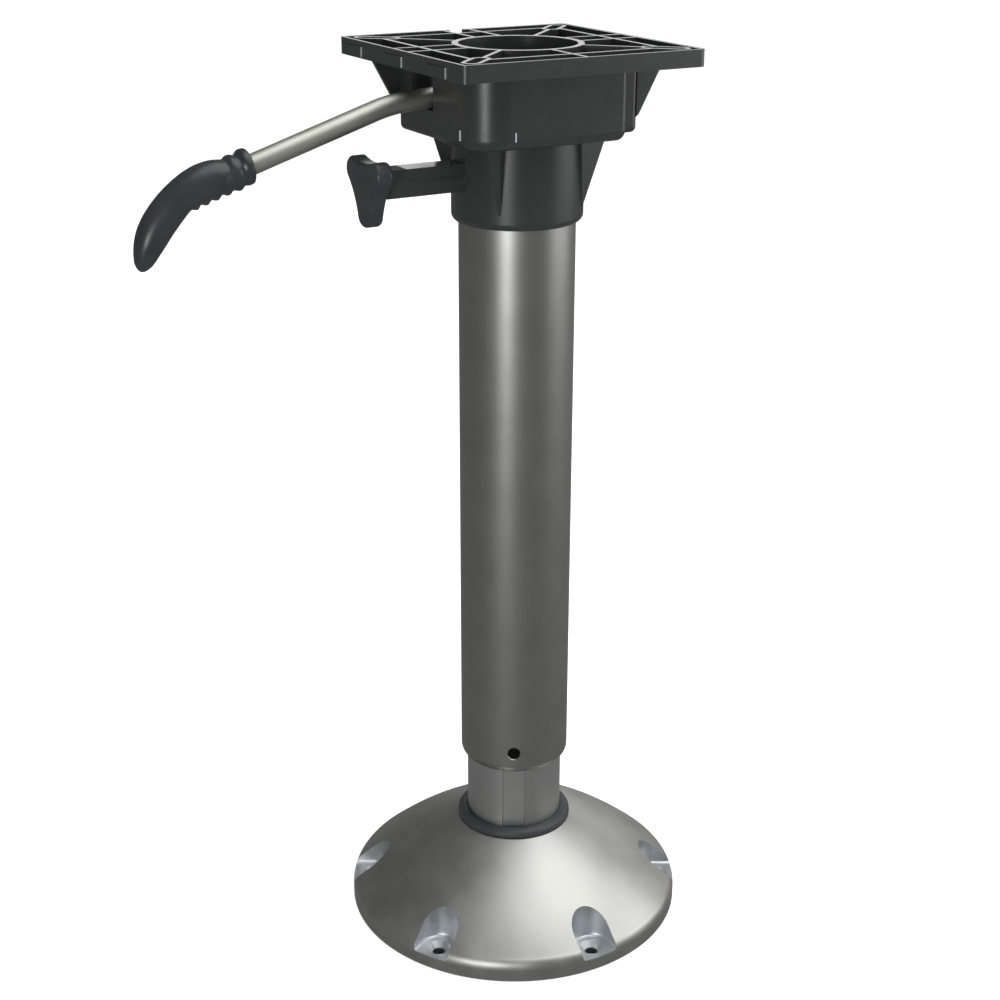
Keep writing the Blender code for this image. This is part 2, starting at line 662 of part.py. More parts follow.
def make_base_collar_ring(frame):
    """Trim ring on the hub, with a tongue in each of the tube's channels."""
    bottom = BASE_HUB_TOP_Z + SEAT_GAP
    outer = BASE_HUB_TOP_RADIUS - SEAT_GAP
    inner = SOCKET_RADIUS
    top = bottom + RING_HEIGHT
    shoulder = inner + RING_TOP_WIDTH
    edge = bottom + RING_EDGE_HEIGHT
    bend_steps = 4
    slope = []
    for k in range(bend_steps + 1):
        angle = math.pi / 2 * k / bend_steps
        slope.append((shoulder + (outer - shoulder) * math.cos(angle), edge + (top - edge) * math.sin(angle)))
    ring = node("base_collar_ring", turned([(inner, bottom), (outer, bottom), *slope, (inner, top)], FINE_STEPS), frame, BLACK_MOULDING)
    tongues = keyed_boxes(KEY_INNER, inner + ROOT_BITE, KEY_HALF_WIDTH, bottom, bottom + RING_TONGUE_HEIGHT)
    add(ring, "ring_tongues", tongues, frame)


def radial_bars(radius, start, end, height, angles, steps=SMALL_STEPS):
    """Round bars that point away from the axis, one at each angle."""
    bars = []
    for angle in angles:
        away = Vector((math.cos(angle), math.sin(angle), 0))
        bar = disc_shape(radius, 0, end - start, steps)
        bars.append(aimed(bar, away, away * start + Vector((0, 0, height))))
    return merged(*bars)


PIN_ANGLES = (0.0, math.pi)
FOOT_PIN_Z = TUBE_FOOT_Z + FOOT_PIN_HEIGHT
FOOT_PIN_OUTER = LOWER_TUBE_RADIUS - SEAT_GAP
FOOT_PIN_INNER = FOOT_PIN_OUTER - FOOT_PIN_LENGTH


def make_lower_tube(frame):
    """Extruded tube with two key channels down its outside."""
    tube = node(
        "lower_tube",
        ring_shape(LOWER_TUBE_BORE, LOWER_TUBE_RADIUS, TUBE_FOOT_Z, LOWER_TUBE_TOP_Z, FINE_STEPS),
        frame,
        TUBE_SATIN,
    )
    channels = keyed_boxes(
        CHANNEL_FLOOR,
        LOWER_TUBE_RADIUS + ROOT_BITE,
        CHANNEL_WIDTH / 2,
        TUBE_FOOT_Z - OVERCUT,
        LOWER_TUBE_TOP_Z + OVERCUT,
    )
    cut(tube, "tube_channels", channels, frame)
    reach = LOWER_TUBE_RADIUS + OVERCUT
    holes = radial_bars(FOOT_PIN_RADIUS + SEAT_GAP, LOWER_TUBE_BORE - ROOT_BITE, reach, FOOT_PIN_Z, PIN_ANGLES)
    cut(tube, "foot_pin_holes", holes, frame)


def make_tube_foot(frame):
    """The plug in the lower tube's foot, its two pins and the screws from under the base."""
    top = TUBE_FOOT_Z + FOOT_PLUG_HEIGHT
    plug_radius = LOWER_TUBE_BORE - SEAT_GAP
    bore = ROD_END_RADIUS + SEAT_GAP
    profile = [
        (ROD_NUT_ROOM, TUBE_FOOT_Z),
        (plug_radius, TUBE_FOOT_Z),
        (plug_radius, top),
        (bore, top),
        (bore, ROD_NUT_TOP_Z + SEAT_GAP),
        (ROD_NUT_ROOM, ROD_NUT_TOP_Z + SEAT_GAP),
    ]
    plug = node("tube_foot_plug", turned(profile), frame, ZINC_STEEL)
    blind = radial_bars(FOOT_PIN_RADIUS + SEAT_GAP, FOOT_PIN_INNER - SEAT_GAP, plug_radius + OVERCUT, FOOT_PIN_Z, PIN_ANGLES)
    cut(plug, "plug_pin_holes", blind, frame)
    taps = []
    for at in base_screw_places():
        tap = disc_shape(
            BASE_SCREW_RADIUS + SEAT_GAP, TUBE_FOOT_Z - OVERCUT, TUBE_FOOT_Z + BASE_SCREW_REACH + SEAT_GAP, SMALL_STEPS
        )
        taps.append(aimed(tap, (0, 0, 1), at))
    cut(plug, "plug_taps", merged(*taps), frame)
    for number, angle in enumerate(PIN_ANGLES, 1):
        pin = radial_bars(FOOT_PIN_RADIUS, FOOT_PIN_INNER, FOOT_PIN_OUTER, FOOT_PIN_Z, [angle])
        node(f"foot_plug_pin_{number}", pin, frame, ZINC_STEEL)
    head_top = BASE_SCREW_RECESS - SEAT_GAP
    head_bottom = head_top - BASE_SCREW_HEAD_HEIGHT
    for number, at in enumerate(base_screw_places(), 1):
        shape = turned(
            [
                (0, head_bottom),
                (BASE_SCREW_HEAD_RADIUS - 0.6 * MM, head_bottom),
                (BASE_SCREW_HEAD_RADIUS, head_bottom + 0.6 * MM),
                (BASE_SCREW_HEAD_RADIUS, head_top),
                (BASE_SCREW_RADIUS, head_top),
                (BASE_SCREW_RADIUS, TUBE_FOOT_Z + BASE_SCREW_REACH),
                (0, TUBE_FOOT_Z + BASE_SCREW_REACH),
            ],
            SMALL_STEPS,
            False,
        )
        screw = node(f"base_screw_{number}", aimed(shape, (0, 0, 1), at), frame, ZINC_STEEL)
        drive = hexagon(BASE_SCREW_HEAD_RADIUS, head_bottom - OVERCUT, head_bottom + BASE_SCREW_HEAD_HEIGHT / 2)
        cut(screw, f"screw_drive_{number}", aimed(drive, (0, 0, 1), at), frame)


def make_bush(name, bottom, top, frame, look):
    """A thin sleeve between the two tubes, with a key in each channel."""
    bush = node(name, ring_shape(BUSH_INNER, BUSH_OUTER, bottom, top, FINE_STEPS), frame, look)
    keys = keyed_boxes(KEY_INNER, (BUSH_INNER + BUSH_OUTER) / 2, KEY_HALF_WIDTH, bottom, top)
    add(bush, name + "_keys", keys, frame)
    return bush


def make_upper_slide_bush(frame):
    """Sleeve on the lower tube's top end, with a cap that rests on that end."""
    bottom = LOWER_TUBE_TOP_Z - BUSH_LENGTH
    cap_bottom = LOWER_TUBE_TOP_Z + SEAT_GAP
    cap_top = cap_bottom + BUSH_CAP_HEIGHT
    cap_inner = LOWER_TUBE_BORE + SEAT_GAP
    sleeve = [
        (BUSH_INNER, bottom),
        (BUSH_OUTER, bottom),
        (BUSH_OUTER, cap_top),
        (cap_inner, cap_top),
        (cap_inner, cap_bottom),
        (BUSH_INNER, cap_bottom),
    ]
    bush = node("upper_slide_bush", turned(sleeve, FINE_STEPS), frame, GREY_NYLON)
    keys = keyed_boxes(KEY_INNER, (BUSH_INNER + BUSH_OUTER) / 2, KEY_HALF_WIDTH, bottom, cap_bottom + BUSH_CAP_HEIGHT / 2)
    add(bush, "upper_slide_bush_keys", keys, frame)


def make_piston_rod(frame):
    """Gas spring's rod, with a threaded foot through the plug and a piston on its upper end."""
    shoulder = TUBE_FOOT_Z + FOOT_PLUG_HEIGHT + SEAT_GAP
    nut_bottom = ROD_NUT_TOP_Z - ROD_NUT_HEIGHT
    head = PISTON_BOTTOM_Z + PISTON_LENGTH + SEAT_GAP
    rivet = 1.6 * MM
    profile = [
        (0, nut_bottom - ROD_END_PROUD),
        (ROD_END_RADIUS, nut_bottom - ROD_END_PROUD),
        (ROD_END_RADIUS, shoulder),
        (ROD_RADIUS, shoulder),
        (ROD_RADIUS, PISTON_BOTTOM_Z - SEAT_GAP),
        (ROD_END_RADIUS, PISTON_BOTTOM_Z - SEAT_GAP),
        (ROD_END_RADIUS, head),
        (ROD_RADIUS, head),
        (ROD_RADIUS, head + rivet),
        (0, head + rivet),
    ]
    node("piston_rod", turned(profile, SMALL_STEPS, False), frame, BRIGHT_ROD)
    groove = 1.4 * MM
    outer = CYLINDER_BORE - SLIDE_GAP
    middle = PISTON_BOTTOM_Z + PISTON_LENGTH / 2
    bore = ROD_END_RADIUS + SEAT_GAP
    piston = [
        (bore, PISTON_BOTTOM_Z),
        (outer, PISTON_BOTTOM_Z),
        (outer, middle - groove),
        (outer - groove, middle - groove),
        (outer - groove, middle + groove),
        (outer, middle + groove),
        (outer, PISTON_BOTTOM_Z + PISTON_LENGTH),
        (bore, PISTON_BOTTOM_Z + PISTON_LENGTH),
    ]
    node("rod_piston", turned(piston, SMALL_STEPS), frame, DARK_NYLON)
    nut = node("rod_nut", hexagon(ROD_NUT_FLATS, nut_bottom, ROD_NUT_TOP_Z), frame, ZINC_STEEL)
    thread = disc_shape(bore, nut_bottom - OVERCUT, ROD_NUT_TOP_Z + OVERCUT, SMALL_STEPS)
    cut(nut, "rod_nut_thread", thread, frame)


def make_upper_tube(frame):
    """Outer tube whose bottom end is rolled in, and crimped into each channel of the tube inside it."""
    bottom = UPPER_TUBE_BOTTOM_Z
    lip_inner = LOWER_TUBE_RADIUS + SLIDE_GAP
    lip_outer = lip_inner + LIP_WALL / 3
    roll_steps = 5
    roll = []
    for k in range(roll_steps + 1):
        angle = math.pi / 2 * k / roll_steps
        radius = lip_outer + (UPPER_TUBE_RADIUS - lip_outer) * math.sin(angle)
        roll.append((radius, bottom + LIP_HEIGHT * (1 - math.cos(angle))))
    profile = [
        *roll,
        (UPPER_TUBE_RADIUS, UPPER_TUBE_TOP_Z),
        (UPPER_TUBE_BORE, UPPER_TUBE_TOP_Z),
        (UPPER_TUBE_BORE, bottom + LIP_HEIGHT - LIP_WALL),
        (lip_inner, bottom + LIP_WALL),
    ]
    tube = node("upper_tube", turned(profile, FINE_STEPS), frame, TUBE_SATIN)
    crimp_face = UPPER_TUBE_RADIUS - CRIMP_DEPTH
    keys = keyed_boxes(
        KEY_INNER, crimp_face + SEAT_GAP, KEY_HALF_WIDTH, bottom + SEAT_GAP, bottom + CRIMP_HEIGHT - SEAT_GAP
    )
    add(tube, "crimp_keys", keys, frame)
    crimps = keyed_boxes(
        crimp_face, UPPER_TUBE_RADIUS + ROOT_BITE, CHANNEL_WIDTH / 2, bottom - OVERCUT, bottom + CRIMP_HEIGHT
    )
    cut(tube, "crimp_flats", crimps, frame)
    reach = UPPER_TUBE_RADIUS + OVERCUT
    inside = UPPER_TUBE_BORE - ROOT_BITE
    cut(tube, "peg_hole", radial_bars(PEG_HOLE_RADIUS, inside, reach, PEG_Z, KEY_ANGLES[:1]), frame)
    pin_holes = radial_bars(TOP_PIN_RADIUS + SEAT_GAP, inside, reach, TOP_PIN_Z, PIN_ANGLES, SMALL_STEPS // 2)
    cut(tube, "top_pin_holes", pin_holes, frame)


PEG_Z = UPPER_TUBE_BOTTOM_Z + PEG_HEIGHT
TOP_PIN_Z = UPPER_TUBE_TOP_Z - TOP_PIN_DROP
TOP_PIN_OUTER = UPPER_TUBE_RADIUS - SEAT_GAP
TOP_PIN_INNER = TOP_PIN_OUTER - TOP_PIN_LENGTH


def make_lower_guide_bush(frame):
    """Sleeve above the rolled lip, held by a peg in the tube's hole."""
    bottom = UPPER_TUBE_BOTTOM_Z + CRIMP_HEIGHT
    bush = make_bush("lower_guide_bush", bottom, bottom + BUSH_LENGTH, frame, DARK_NYLON)
    end = UPPER_TUBE_RADIUS - SEAT_GAP
    start = (BUSH_INNER + BUSH_OUTER) / 2
    peg = radial_bars(PEG_HOLE_RADIUS - SEAT_GAP, start, end, PEG_Z, KEY_ANGLES[:1])
    add(bush, "guide_peg", peg, frame)


def make_tube_top(frame):
    """The flanged plug in the upper tube's top end, its pins, and the washer that the head turns on."""
    bore = NECK_RADIUS + SEAT_GAP
    outer = UPPER_TUBE_BORE - SEAT_GAP
    profile = [
        (bore, TOP_PLUG_BOTTOM_Z),
        (outer, TOP_PLUG_BOTTOM_Z),
        (outer, FLANGE_BOTTOM_Z),
        (UPPER_TUBE_RADIUS, FLANGE_BOTTOM_Z),
        (UPPER_TUBE_RADIUS, FLANGE_TOP_Z),
        (bore, FLANGE_TOP_Z),
    ]
    plug = node("tube_top_plug", turned(profile), frame, TUBE_SATIN)
    blind = radial_bars(
        TOP_PIN_RADIUS + SEAT_GAP, TOP_PIN_INNER - SEAT_GAP, outer + OVERCUT, TOP_PIN_Z, PIN_ANGLES, SMALL_STEPS // 2
    )
    cut(plug, "top_plug_pin_holes", blind, frame)
    for number, angle in enumerate(PIN_ANGLES, 1):
        pin = radial_bars(TOP_PIN_RADIUS, TOP_PIN_INNER, TOP_PIN_OUTER, TOP_PIN_Z, [angle], SMALL_STEPS // 2)
        node(f"top_plug_pin_{number}", pin, frame, ZINC_STEEL)
    washer = ring_shape(THRUST_WASHER_BORE, UPPER_TUBE_RADIUS, THRUST_BOTTOM_Z, THRUST_TOP_Z)
    node("thrust_washer", washer, frame, GREY_NYLON)


def make_gas_cylinder(frame):
    """Gas spring's cylinder, open at its gland end, with a threaded neck that holds the valve pin."""
    pin_bore = PIN_RADIUS + SLIDE_GAP
    pin_room = PIN_TOP_Z - PIN_LENGTH - PIN_TRAVEL_ROOM
    edge = 1.0 * MM
    outside = [
        (CYLINDER_BORE, CYLINDER_BOTTOM_Z),
        (CYLINDER_RADIUS - edge, CYLINDER_BOTTOM_Z),
        (CYLINDER_RADIUS, CYLINDER_BOTTOM_Z + edge),
        (CYLINDER_RADIUS, CYLINDER_TOP_Z - edge),
        (CYLINDER_RADIUS - edge, CYLINDER_TOP_Z),
        (NECK_RADIUS, CYLINDER_TOP_Z),
        (NECK_RADIUS, NECK_TOP_Z - edge),
        (NECK_RADIUS - edge, NECK_TOP_Z),
        (pin_bore, NECK_TOP_Z),
        (pin_bore, pin_room),
        (0, pin_room),
    ]
    head_floor = CYLINDER_TOP_Z - CYLINDER_HEAD
    profile = [(0, head_floor), (CYLINDER_BORE, head_floor), *outside]
    node("gas_cylinder", turned(profile, SMALL_STEPS + SMALL_STEPS // 3, False), frame, BLACK_STEEL)
    gland = ring_shape(
        ROD_RADIUS + SLIDE_GAP,
        CYLINDER_BORE - SEAT_GAP,
        CYLINDER_BOTTOM_Z,
        CYLINDER_BOTTOM_Z + GLAND_LENGTH,
        SMALL_STEPS,
    )
    node("cylinder_gland", gland, frame, DARK_NYLON)
    washer = ring_shape(NECK_RADIUS + SEAT_GAP, RETAINING_WASHER_RADIUS, WASHER_BOTTOM_Z, WASHER_TOP_Z)
    node("retaining_washer", washer, frame, ZINC_STEEL)
    nut = node("neck_nut", hexagon(NECK_NUT_FLATS, NECK_NUT_BOTTOM_Z, NECK_NUT_TOP_Z), frame, ZINC_STEEL)
    thread = disc_shape(NECK_RADIUS + SEAT_GAP, NECK_NUT_BOTTOM_Z - OVERCUT, NECK_NUT_TOP_Z + OVERCUT)
    cut(nut, "neck_nut_thread", thread, frame)


def make_release_pin(frame):
    """Valve pin in the cylinder's neck, with a domed tip under the lever's tongue."""
    bottom = PIN_TOP_Z - PIN_LENGTH
    profile = [
        (0, bottom),
        (PIN_RADIUS, bottom),
        (PIN_RADIUS, PIN_TOP_Z - PIN_TIP_RADIUS),
        ((PIN_RADIUS + PIN_TIP_RADIUS) / 2, PIN_TOP_Z - PIN_TIP_RADIUS / 3),
        (PIN_TIP_RADIUS, PIN_TOP_Z),
        (0, PIN_TOP_Z),
    ]
    node("release_pin", turned(profile, SMALL_STEPS, False), frame, BRIGHT_ROD)


def square(half):
    """Corners of a square on the axis, anticlockwise."""
    return [(-half, -half), (half, -half), (half, half), (-half, half)]


def plate_slab():
    """The seat plate as a solid slab with softened edges."""
    corners = square(PLATE_SIDE / 2)
    radii = [PLATE_CORNER_RADIUS] * 4
    levels = [(0.0, PLATE_EDGE), (PLATE_EDGE, 0.0), (PLATE_RIM_HEIGHT - PLATE_EDGE, 0.0), (PLATE_RIM_HEIGHT, PLATE_EDGE)]
    rings = [[(x, y, PLATE_BOTTOM_Z + up) for x, y in rounded_outline(corners, radii, inset)] for up, inset in levels]
    return loft(rings)


def block_corners(inset=0.0):
    """The front-left block's plan. Its partner is the same, turned half round."""
    x, y = BLOCK_OUTER_X - inset, BLOCK_OUTER_Y - inset
    side = BLOCK_SHORT_SIDE - inset
    return [(-x, -y), (side, -y), (side, -BLOCK_INNER), (-x, -BLOCK_INNER)]


def housing_corners(inset=0.0):
    """The central housing's plan."""
    x, y = HOUSING_HALF_X - inset, HOUSING_HALF_Y - inset
    return [(-x, -y), (x, -y), (x, y), (-x, y)]


BLOCK_RADII = (BLOCK_ROUND_CORNER, HOUSING_CORNER_RADIUS, 1.0 * MM, 1.0 * MM)
HALF_TURN = math.pi


def fins():
    """Four tapered fins from the housing's floor down the collar."""
    top = HOUSING_BOTTOM_Z + ROOT_BITE
    tip = COLLAR_BOTTOM_Z + FIN_TIP_HEIGHT
    root = COLLAR_RADIUS - 2 * ROOT_BITE
    shapes = []
    for k in range(4):
        rings = []
        for height, reach, half in (
            (tip, COLLAR_RADIUS + SEAT_GAP, FIN_TIP_HALF_WIDTH),
            (top, FIN_TOP_RADIUS, FIN_TOP_HALF_WIDTH),
        ):
            rings.append([(root, -half, height), (reach, -half, height), (reach, half, height), (root, half, height)])
        shapes.append(rotated(loft(rings), math.pi / 4 + k * math.pi / 2))
    return merged(*shapes)


def gusset():
    """The web under the plate beside the housing, on the +X side at -Y."""
    heel = HOUSING_HALF_X - ROOT_BITE
    foot = PLATE_TOP_Z - GUSSET_HEEL
    near, far = -HOUSING_HALF_Y, -HOUSING_HALF_Y + GUSSET_THICKNESS
    side = [
        (heel, foot - ROOT_BITE),
        (HOUSING_HALF_X + SEAT_GAP, foot),
        (GUSSET_REACH, PLATE_BOTTOM_Z),
        (GUSSET_REACH, PLATE_BOTTOM_Z + ROOT_BITE),
        (heel, PLATE_BOTTOM_Z + ROOT_BITE),
    ]
    return loft([[(x, y, z) for x, z in side] for y in (near, far)])


def knob_boss():
    """The long round boss on the collar that carries the friction screw."""
    start = COLLAR_RADIUS - ROOT_BITE
    profile = [
        (0, start),
        (KNOB_BOSS_RADIUS + KNOB_BOSS_ROOT, start),
        (KNOB_BOSS_RADIUS, COLLAR_RADIUS + 2 * KNOB_BOSS_ROOT),
        (KNOB_BOSS_RADIUS, -KNOB_BOSS_END_X),
        (0, -KNOB_BOSS_END_X),
    ]
    return aimed(turned(profile, SMALL_STEPS + SMALL_STEPS // 3, False), (-1, 0, 0), (0, 0, KNOB_Z))


def add_mount_walls(mount, frame):
    """The outside forms under the plate: housing, its two side blocks, collar, fins, gussets and boss."""
    top = PLATE_FLOOR_Z
    radii = [HOUSING_CORNER_RADIUS] * 4
    housing = filleted_block(housing_corners(), radii, HOUSING_BOTTOM_Z, top, HOUSING_FILLET)
    add(mount, "housing_form", housing, frame)
    for name, turn in (("front_block_form", 0.0), ("rear_block_form", HALF_TURN)):
        shape = filleted_block(block_corners(), BLOCK_RADII, BLOCK_BOTTOM_Z, top - SEAT_GAP, BLOCK_FILLET)
        add(mount, name, rotated(shape, turn), frame)
    collar = []
    fillet_steps = 4
    for k in range(fillet_steps + 1):
        angle = math.pi / 2 * k / fillet_steps
        radius = COLLAR_RADIUS - COLLAR_FILLET * (1 - math.sin(angle))
        collar.append((radius, COLLAR_BOTTOM_Z + COLLAR_FILLET * (1 - math.cos(angle))))
    root = HOUSING_BOTTOM_Z + HOUSING_WALL
    profile = [(0, COLLAR_BOTTOM_Z), *collar, (COLLAR_RADIUS, root), (0, root)]
    add(mount, "collar_form", turned(profile, FINE_STEPS, False), frame)
    add(mount, "collar_fins", fins(), frame)
    add(mount, "plate_gussets", merged(gusset(), rotated(gusset(), HALF_TURN)), frame)
    add(mount, "boss_form", knob_boss(), frame)


def plate_ribs():
    """The rib walls of the plate, as four groups that don't touch within a group."""
    low, high = BLOCK_BOTTOM_Z, PLATE_TOP_Z + 3 * OVERCUT
    half = RIB_THICKNESS / 2
    inside, outside = WELL_RADIUS + half, PLATE_SIDE / 2 - half
    pair = RIB_PAIR_SPACING / 2
    straight = [block((inside, y - half, low), (outside, y + half, high)) for y in (-pair, pair)]
    straight += [block((-outside, y - half, low), (-inside, y + half, high)) for y in (-pair, pair)]
    straight += [block((x - half, inside, low), (x + half, outside, high)) for x in (-pair, pair)]
    straight.append(block((-half, -outside, low), (half, -inside, high)))
    diagonal = [
        rotated(block((inside, -half, low), (SLOT_INNER_RADIUS - SLOT_HALF_WIDTH - half, half, high)), turn)
        for turn in diagonal_turns()
    ]
    side = RIB_SQUARE_SIDE / 2
    return [
        ("straight_ribs", merged(*straight)),
        ("diagonal_ribs", merged(*diagonal)),
        ("square_rib", square_frame(side - half, side + half, low, high)),
        ("slot_bosses", slots(SLOT_HALF_WIDTH + SLOT_WALL, low, high)),
        ("well_wall", well_wall(low, high)),
    ]


def diagonal_turns():
    """The four diagonals of the plate."""
    return [math.pi / 4 + k * math.pi / 2 for k in range(4)]


def slots(half_width, low, high):
    """One slot-shaped prism on each diagonal."""
    outline = slot_outline(SLOT_INNER_RADIUS, SLOT_OUTER_RADIUS, half_width, 6)
    return merged(*[rotated(prism(outline, low, high), turn) for turn in diagonal_turns()])


def square_frame(inner, outer, low, high):
    """A square ring of upright walls."""
    shape = bmesh.new()
    loops = []
    for half, height in ((outer, low), (outer, high), (inner, high), (inner, low)):
        loops.append([shape.verts.new((x, y, height)) for x, y in square(half)])
    for lower, upper in zip(loops, loops[1:] + loops[:1]):
        face_ring(shape, lower, upper)
    return shape


def well_wall(low, high):
    """The round wall of the central well, thicker below where it carries the ledge and the collar."""
    step = LEDGE_TOP_Z + WALL_STEP
    profile = [
        (0, low),
        (COLLAR_RADIUS, low),
        (COLLAR_RADIUS, step),
        (WELL_OUTER, step + WALL_STEP),
        (WELL_OUTER, high),
        (0, high),
    ]
    return turned(profile, FINE_STEPS, False)


def cut_mount_cells(mount, frame):
    """Hollows the moulding from above, leaving its floor, its outer walls and its ribs."""
    high = PLATE_TOP_Z + OVERCUT
    inset = PLATE_RIM_WALL
    corners = square(PLATE_SIDE / 2 - inset)
    radii = [PLATE_CORNER_RADIUS - inset] * 4
    cells = tool("plate_cells", prism(rounded_outline(corners, radii), PLATE_FLOOR_Z, high), frame)
    wall = HOUSING_WALL
    radii = [HOUSING_CORNER_RADIUS] * 4
    deep = prism(rounded_outline(housing_corners(wall), radii), HOUSING_BOTTOM_Z + wall, PLATE_FLOOR_Z + OVERCUT)
    add(cells, "housing_cells", deep, frame)
    block_radii = (BLOCK_ROUND_CORNER - wall, HOUSING_CORNER_RADIUS, 1.0 * MM, 1.0 * MM)
    for name, turn in (("front_block_cells", 0.0), ("rear_block_cells", HALF_TURN)):
        outline = rounded_outline(block_corners(wall), block_radii)
        shape = prism(outline, BLOCK_BOTTOM_Z + wall, PLATE_FLOOR_Z + OVERCUT / 2)
        add(cells, name, rotated(shape, turn), frame)
    for name, shape in plate_ribs():
        cut(cells, name, shape, frame)
    combine(mount, cells, "DIFFERENCE")


def cut_mount_bores(mount, frame):
    """The bore for the column, the ledge over it, the open well, and the stepped bore of the knob's boss."""
    lip_top = COLLAR_BOTTOM_Z + COLLAR_LIP_HEIGHT
    lip = COLLAR_BORE - COLLAR_LIP
    ledge_bore = NECK_RADIUS + LEDGE_BORE_GAP
    profile = [
        (0, COLLAR_BOTTOM_Z - OVERCUT),
        (lip, COLLAR_BOTTOM_Z - OVERCUT),
        (lip, lip_top),
        (COLLAR_BORE, lip_top),
        (COLLAR_BORE, LEDGE_BOTTOM_Z),
        (ledge_bore, LEDGE_BOTTOM_Z),
        (ledge_bore, LEDGE_TOP_Z),
        (WELL_RADIUS, LEDGE_TOP_Z),
        (WELL_RADIUS, PLATE_TOP_Z + OVERCUT),
        (0, PLATE_TOP_Z + OVERCUT),
    ]
    cut(mount, "column_bore", turned(profile, FINE_STEPS, False), frame)
    end = -KNOB_BOSS_END_X
    pad_end = -PAD_BACK_X + PAD_TRAVEL_ROOM
    seat = end - INSERT_LENGTH - SEAT_GAP
    bore = [
        (0, UPPER_TUBE_RADIUS),
        (PAD_RADIUS + SLIDE_GAP, UPPER_TUBE_RADIUS),
        (PAD_RADIUS + SLIDE_GAP, pad_end),
        (SCREW_RADIUS + SLIDE_GAP, pad_end),
        (SCREW_RADIUS + SLIDE_GAP, seat),
        (INSERT_RADIUS + SEAT_GAP, seat),
        (INSERT_RADIUS + SEAT_GAP, end + OVERCUT),
        (0, end + OVERCUT),
    ]
    cut(mount, "clamp_bore", aimed(turned(bore, SMALL_STEPS, False), (-1, 0, 0), (0, 0, KNOB_Z)), frame)


def cut_mount_openings(mount, frame):
    """The bolt slots, the lever's slot and its gate in the well's wall, and the notch in the rear rim."""
    cut(mount, "bolt_slots", slots(SLOT_HALF_WIDTH, PLATE_BOTTOM_Z - OVERCUT, PLATE_TOP_Z + OVERCUT), frame)
    mouth = block(
        (-BLOCK_OUTER_X - OVERCUT, LEVER_SLOT_NEAR_Y, PLATE_TOP_Z - LEVER_SLOT_BOTTOM),
        (-BLOCK_OUTER_X + LEVER_SLOT_DEPTH, LEVER_SLOT_FAR_Y, PLATE_TOP_Z - LEVER_SLOT_TOP),
    )
    gate = block(
        (-COLLAR_RADIUS - OVERCUT, LEVER_SLOT_NEAR_Y, PLATE_TOP_Z - LEVER_GATE_BOTTOM),
        (-WELL_RADIUS + 3 * ROOT_BITE, -LEVER_SLOT_NEAR_Y, PLATE_TOP_Z - LEVER_SLOT_TOP),
    )
    notch = block(
        (-RIM_NOTCH_WIDTH / 2, PLATE_SIDE / 2 - 2 * PLATE_RIM_WALL, PLATE_TOP_Z - RIM_NOTCH_DEPTH),
        (RIM_NOTCH_WIDTH / 2, PLATE_SIDE / 2 + OVERCUT, PLATE_TOP_Z + OVERCUT),
    )
    cut(mount, "mount_openings", merged(mouth, gate, notch), frame)


def lug(near, far):
    """One round-topped ear for the lever's pivot, between two distances from the lever's plane."""
    root = LEDGE_TOP_Z - LEDGE_THICKNESS / 2
    side = [(PIVOT_X - LUG_HALF_LENGTH, root), (PIVOT_X + LUG_HALF_LENGTH, root)]
    arc_steps = 8
    for k in range(arc_steps + 1):
        angle = math.pi * k / arc_steps
        side.append((PIVOT_X + LUG_HALF_LENGTH * math.cos(angle), PIVOT_Z + LUG_HALF_LENGTH * math.sin(angle)))
    return loft([[(x, y, z) for x, z in side] for y in (near, far)])


def make_swivel_mount(frame):
    """The head: seat plate, ribs, housing, collar and knob boss in one moulding."""
    mount = node("swivel_mount", plate_slab(), frame, BLACK_MOULDING)
    add_mount_walls(mount, frame)
    cut_mount_cells(mount, frame)
    cut_mount_bores(mount, frame)
    cut_mount_openings(mount, frame)
    add(mount, "pivot_lugs", merged(lug(LUG_INNER_Y, LUG_OUTER_Y), lug(-LUG_OUTER_Y, -LUG_INNER_Y)), frame)
    reach = LUG_OUTER_Y + OVERCUT
    hole = disc_shape(PIVOT_PIN_RADIUS + SLIDE_GAP, -reach, reach, SMALL_STEPS)
    cut(mount, "pivot_bore", aimed(hole, (0, 1, 0), (PIVOT_X, 0, PIVOT_Z)), frame)


def make_swivel_bush(frame):
    """Split sleeve that the collar turns on, with a window for the friction pad."""
    top = SWIVEL_BUSH_BOTTOM_Z + SWIVEL_BUSH_LENGTH
    sleeve = ring_shape(SWIVEL_BUSH_INNER, SWIVEL_BUSH_OUTER, SWIVEL_BUSH_BOTTOM_Z, top, FINE_STEPS)
    bush = node("swivel_bush", sleeve, frame, GREY_NYLON)
    window = disc_shape(PAD_RADIUS + SEAT_GAP + SLIDE_GAP, UPPER_TUBE_RADIUS / 2, COLLAR_RADIUS, SMALL_STEPS)
    cut(bush, "pad_window", aimed(window, (-1, 0, 0), (0, 0, KNOB_Z)), frame)
    slit = block(
        (UPPER_TUBE_RADIUS / 2, -SWIVEL_BUSH_SLIT / 2, SWIVEL_BUSH_BOTTOM_Z - OVERCUT),
        (COLLAR_RADIUS, SWIVEL_BUSH_SLIT / 2, top + OVERCUT),
    )
    cut(bush, "bush_slit", slit, frame)


def lever_corners():
    """Corners of the lever rod's centreline in the plane Y = 0."""
    return [
        Vector((LEVER_TONGUE_X, 0, PIVOT_Z)),
        Vector((PIVOT_X - LEVER_SHOULDER, 0, PIVOT_Z)),
        Vector((LEVER_JOG_X, 0, PIVOT_Z - LEVER_JOG_DROP)),
        Vector((LEVER_BEND_X, 0, PIVOT_Z - LEVER_BEND_DROP)),
        Vector((LEVER_END_X, 0, PIVOT_Z - LEVER_END_DROP)),
    ]


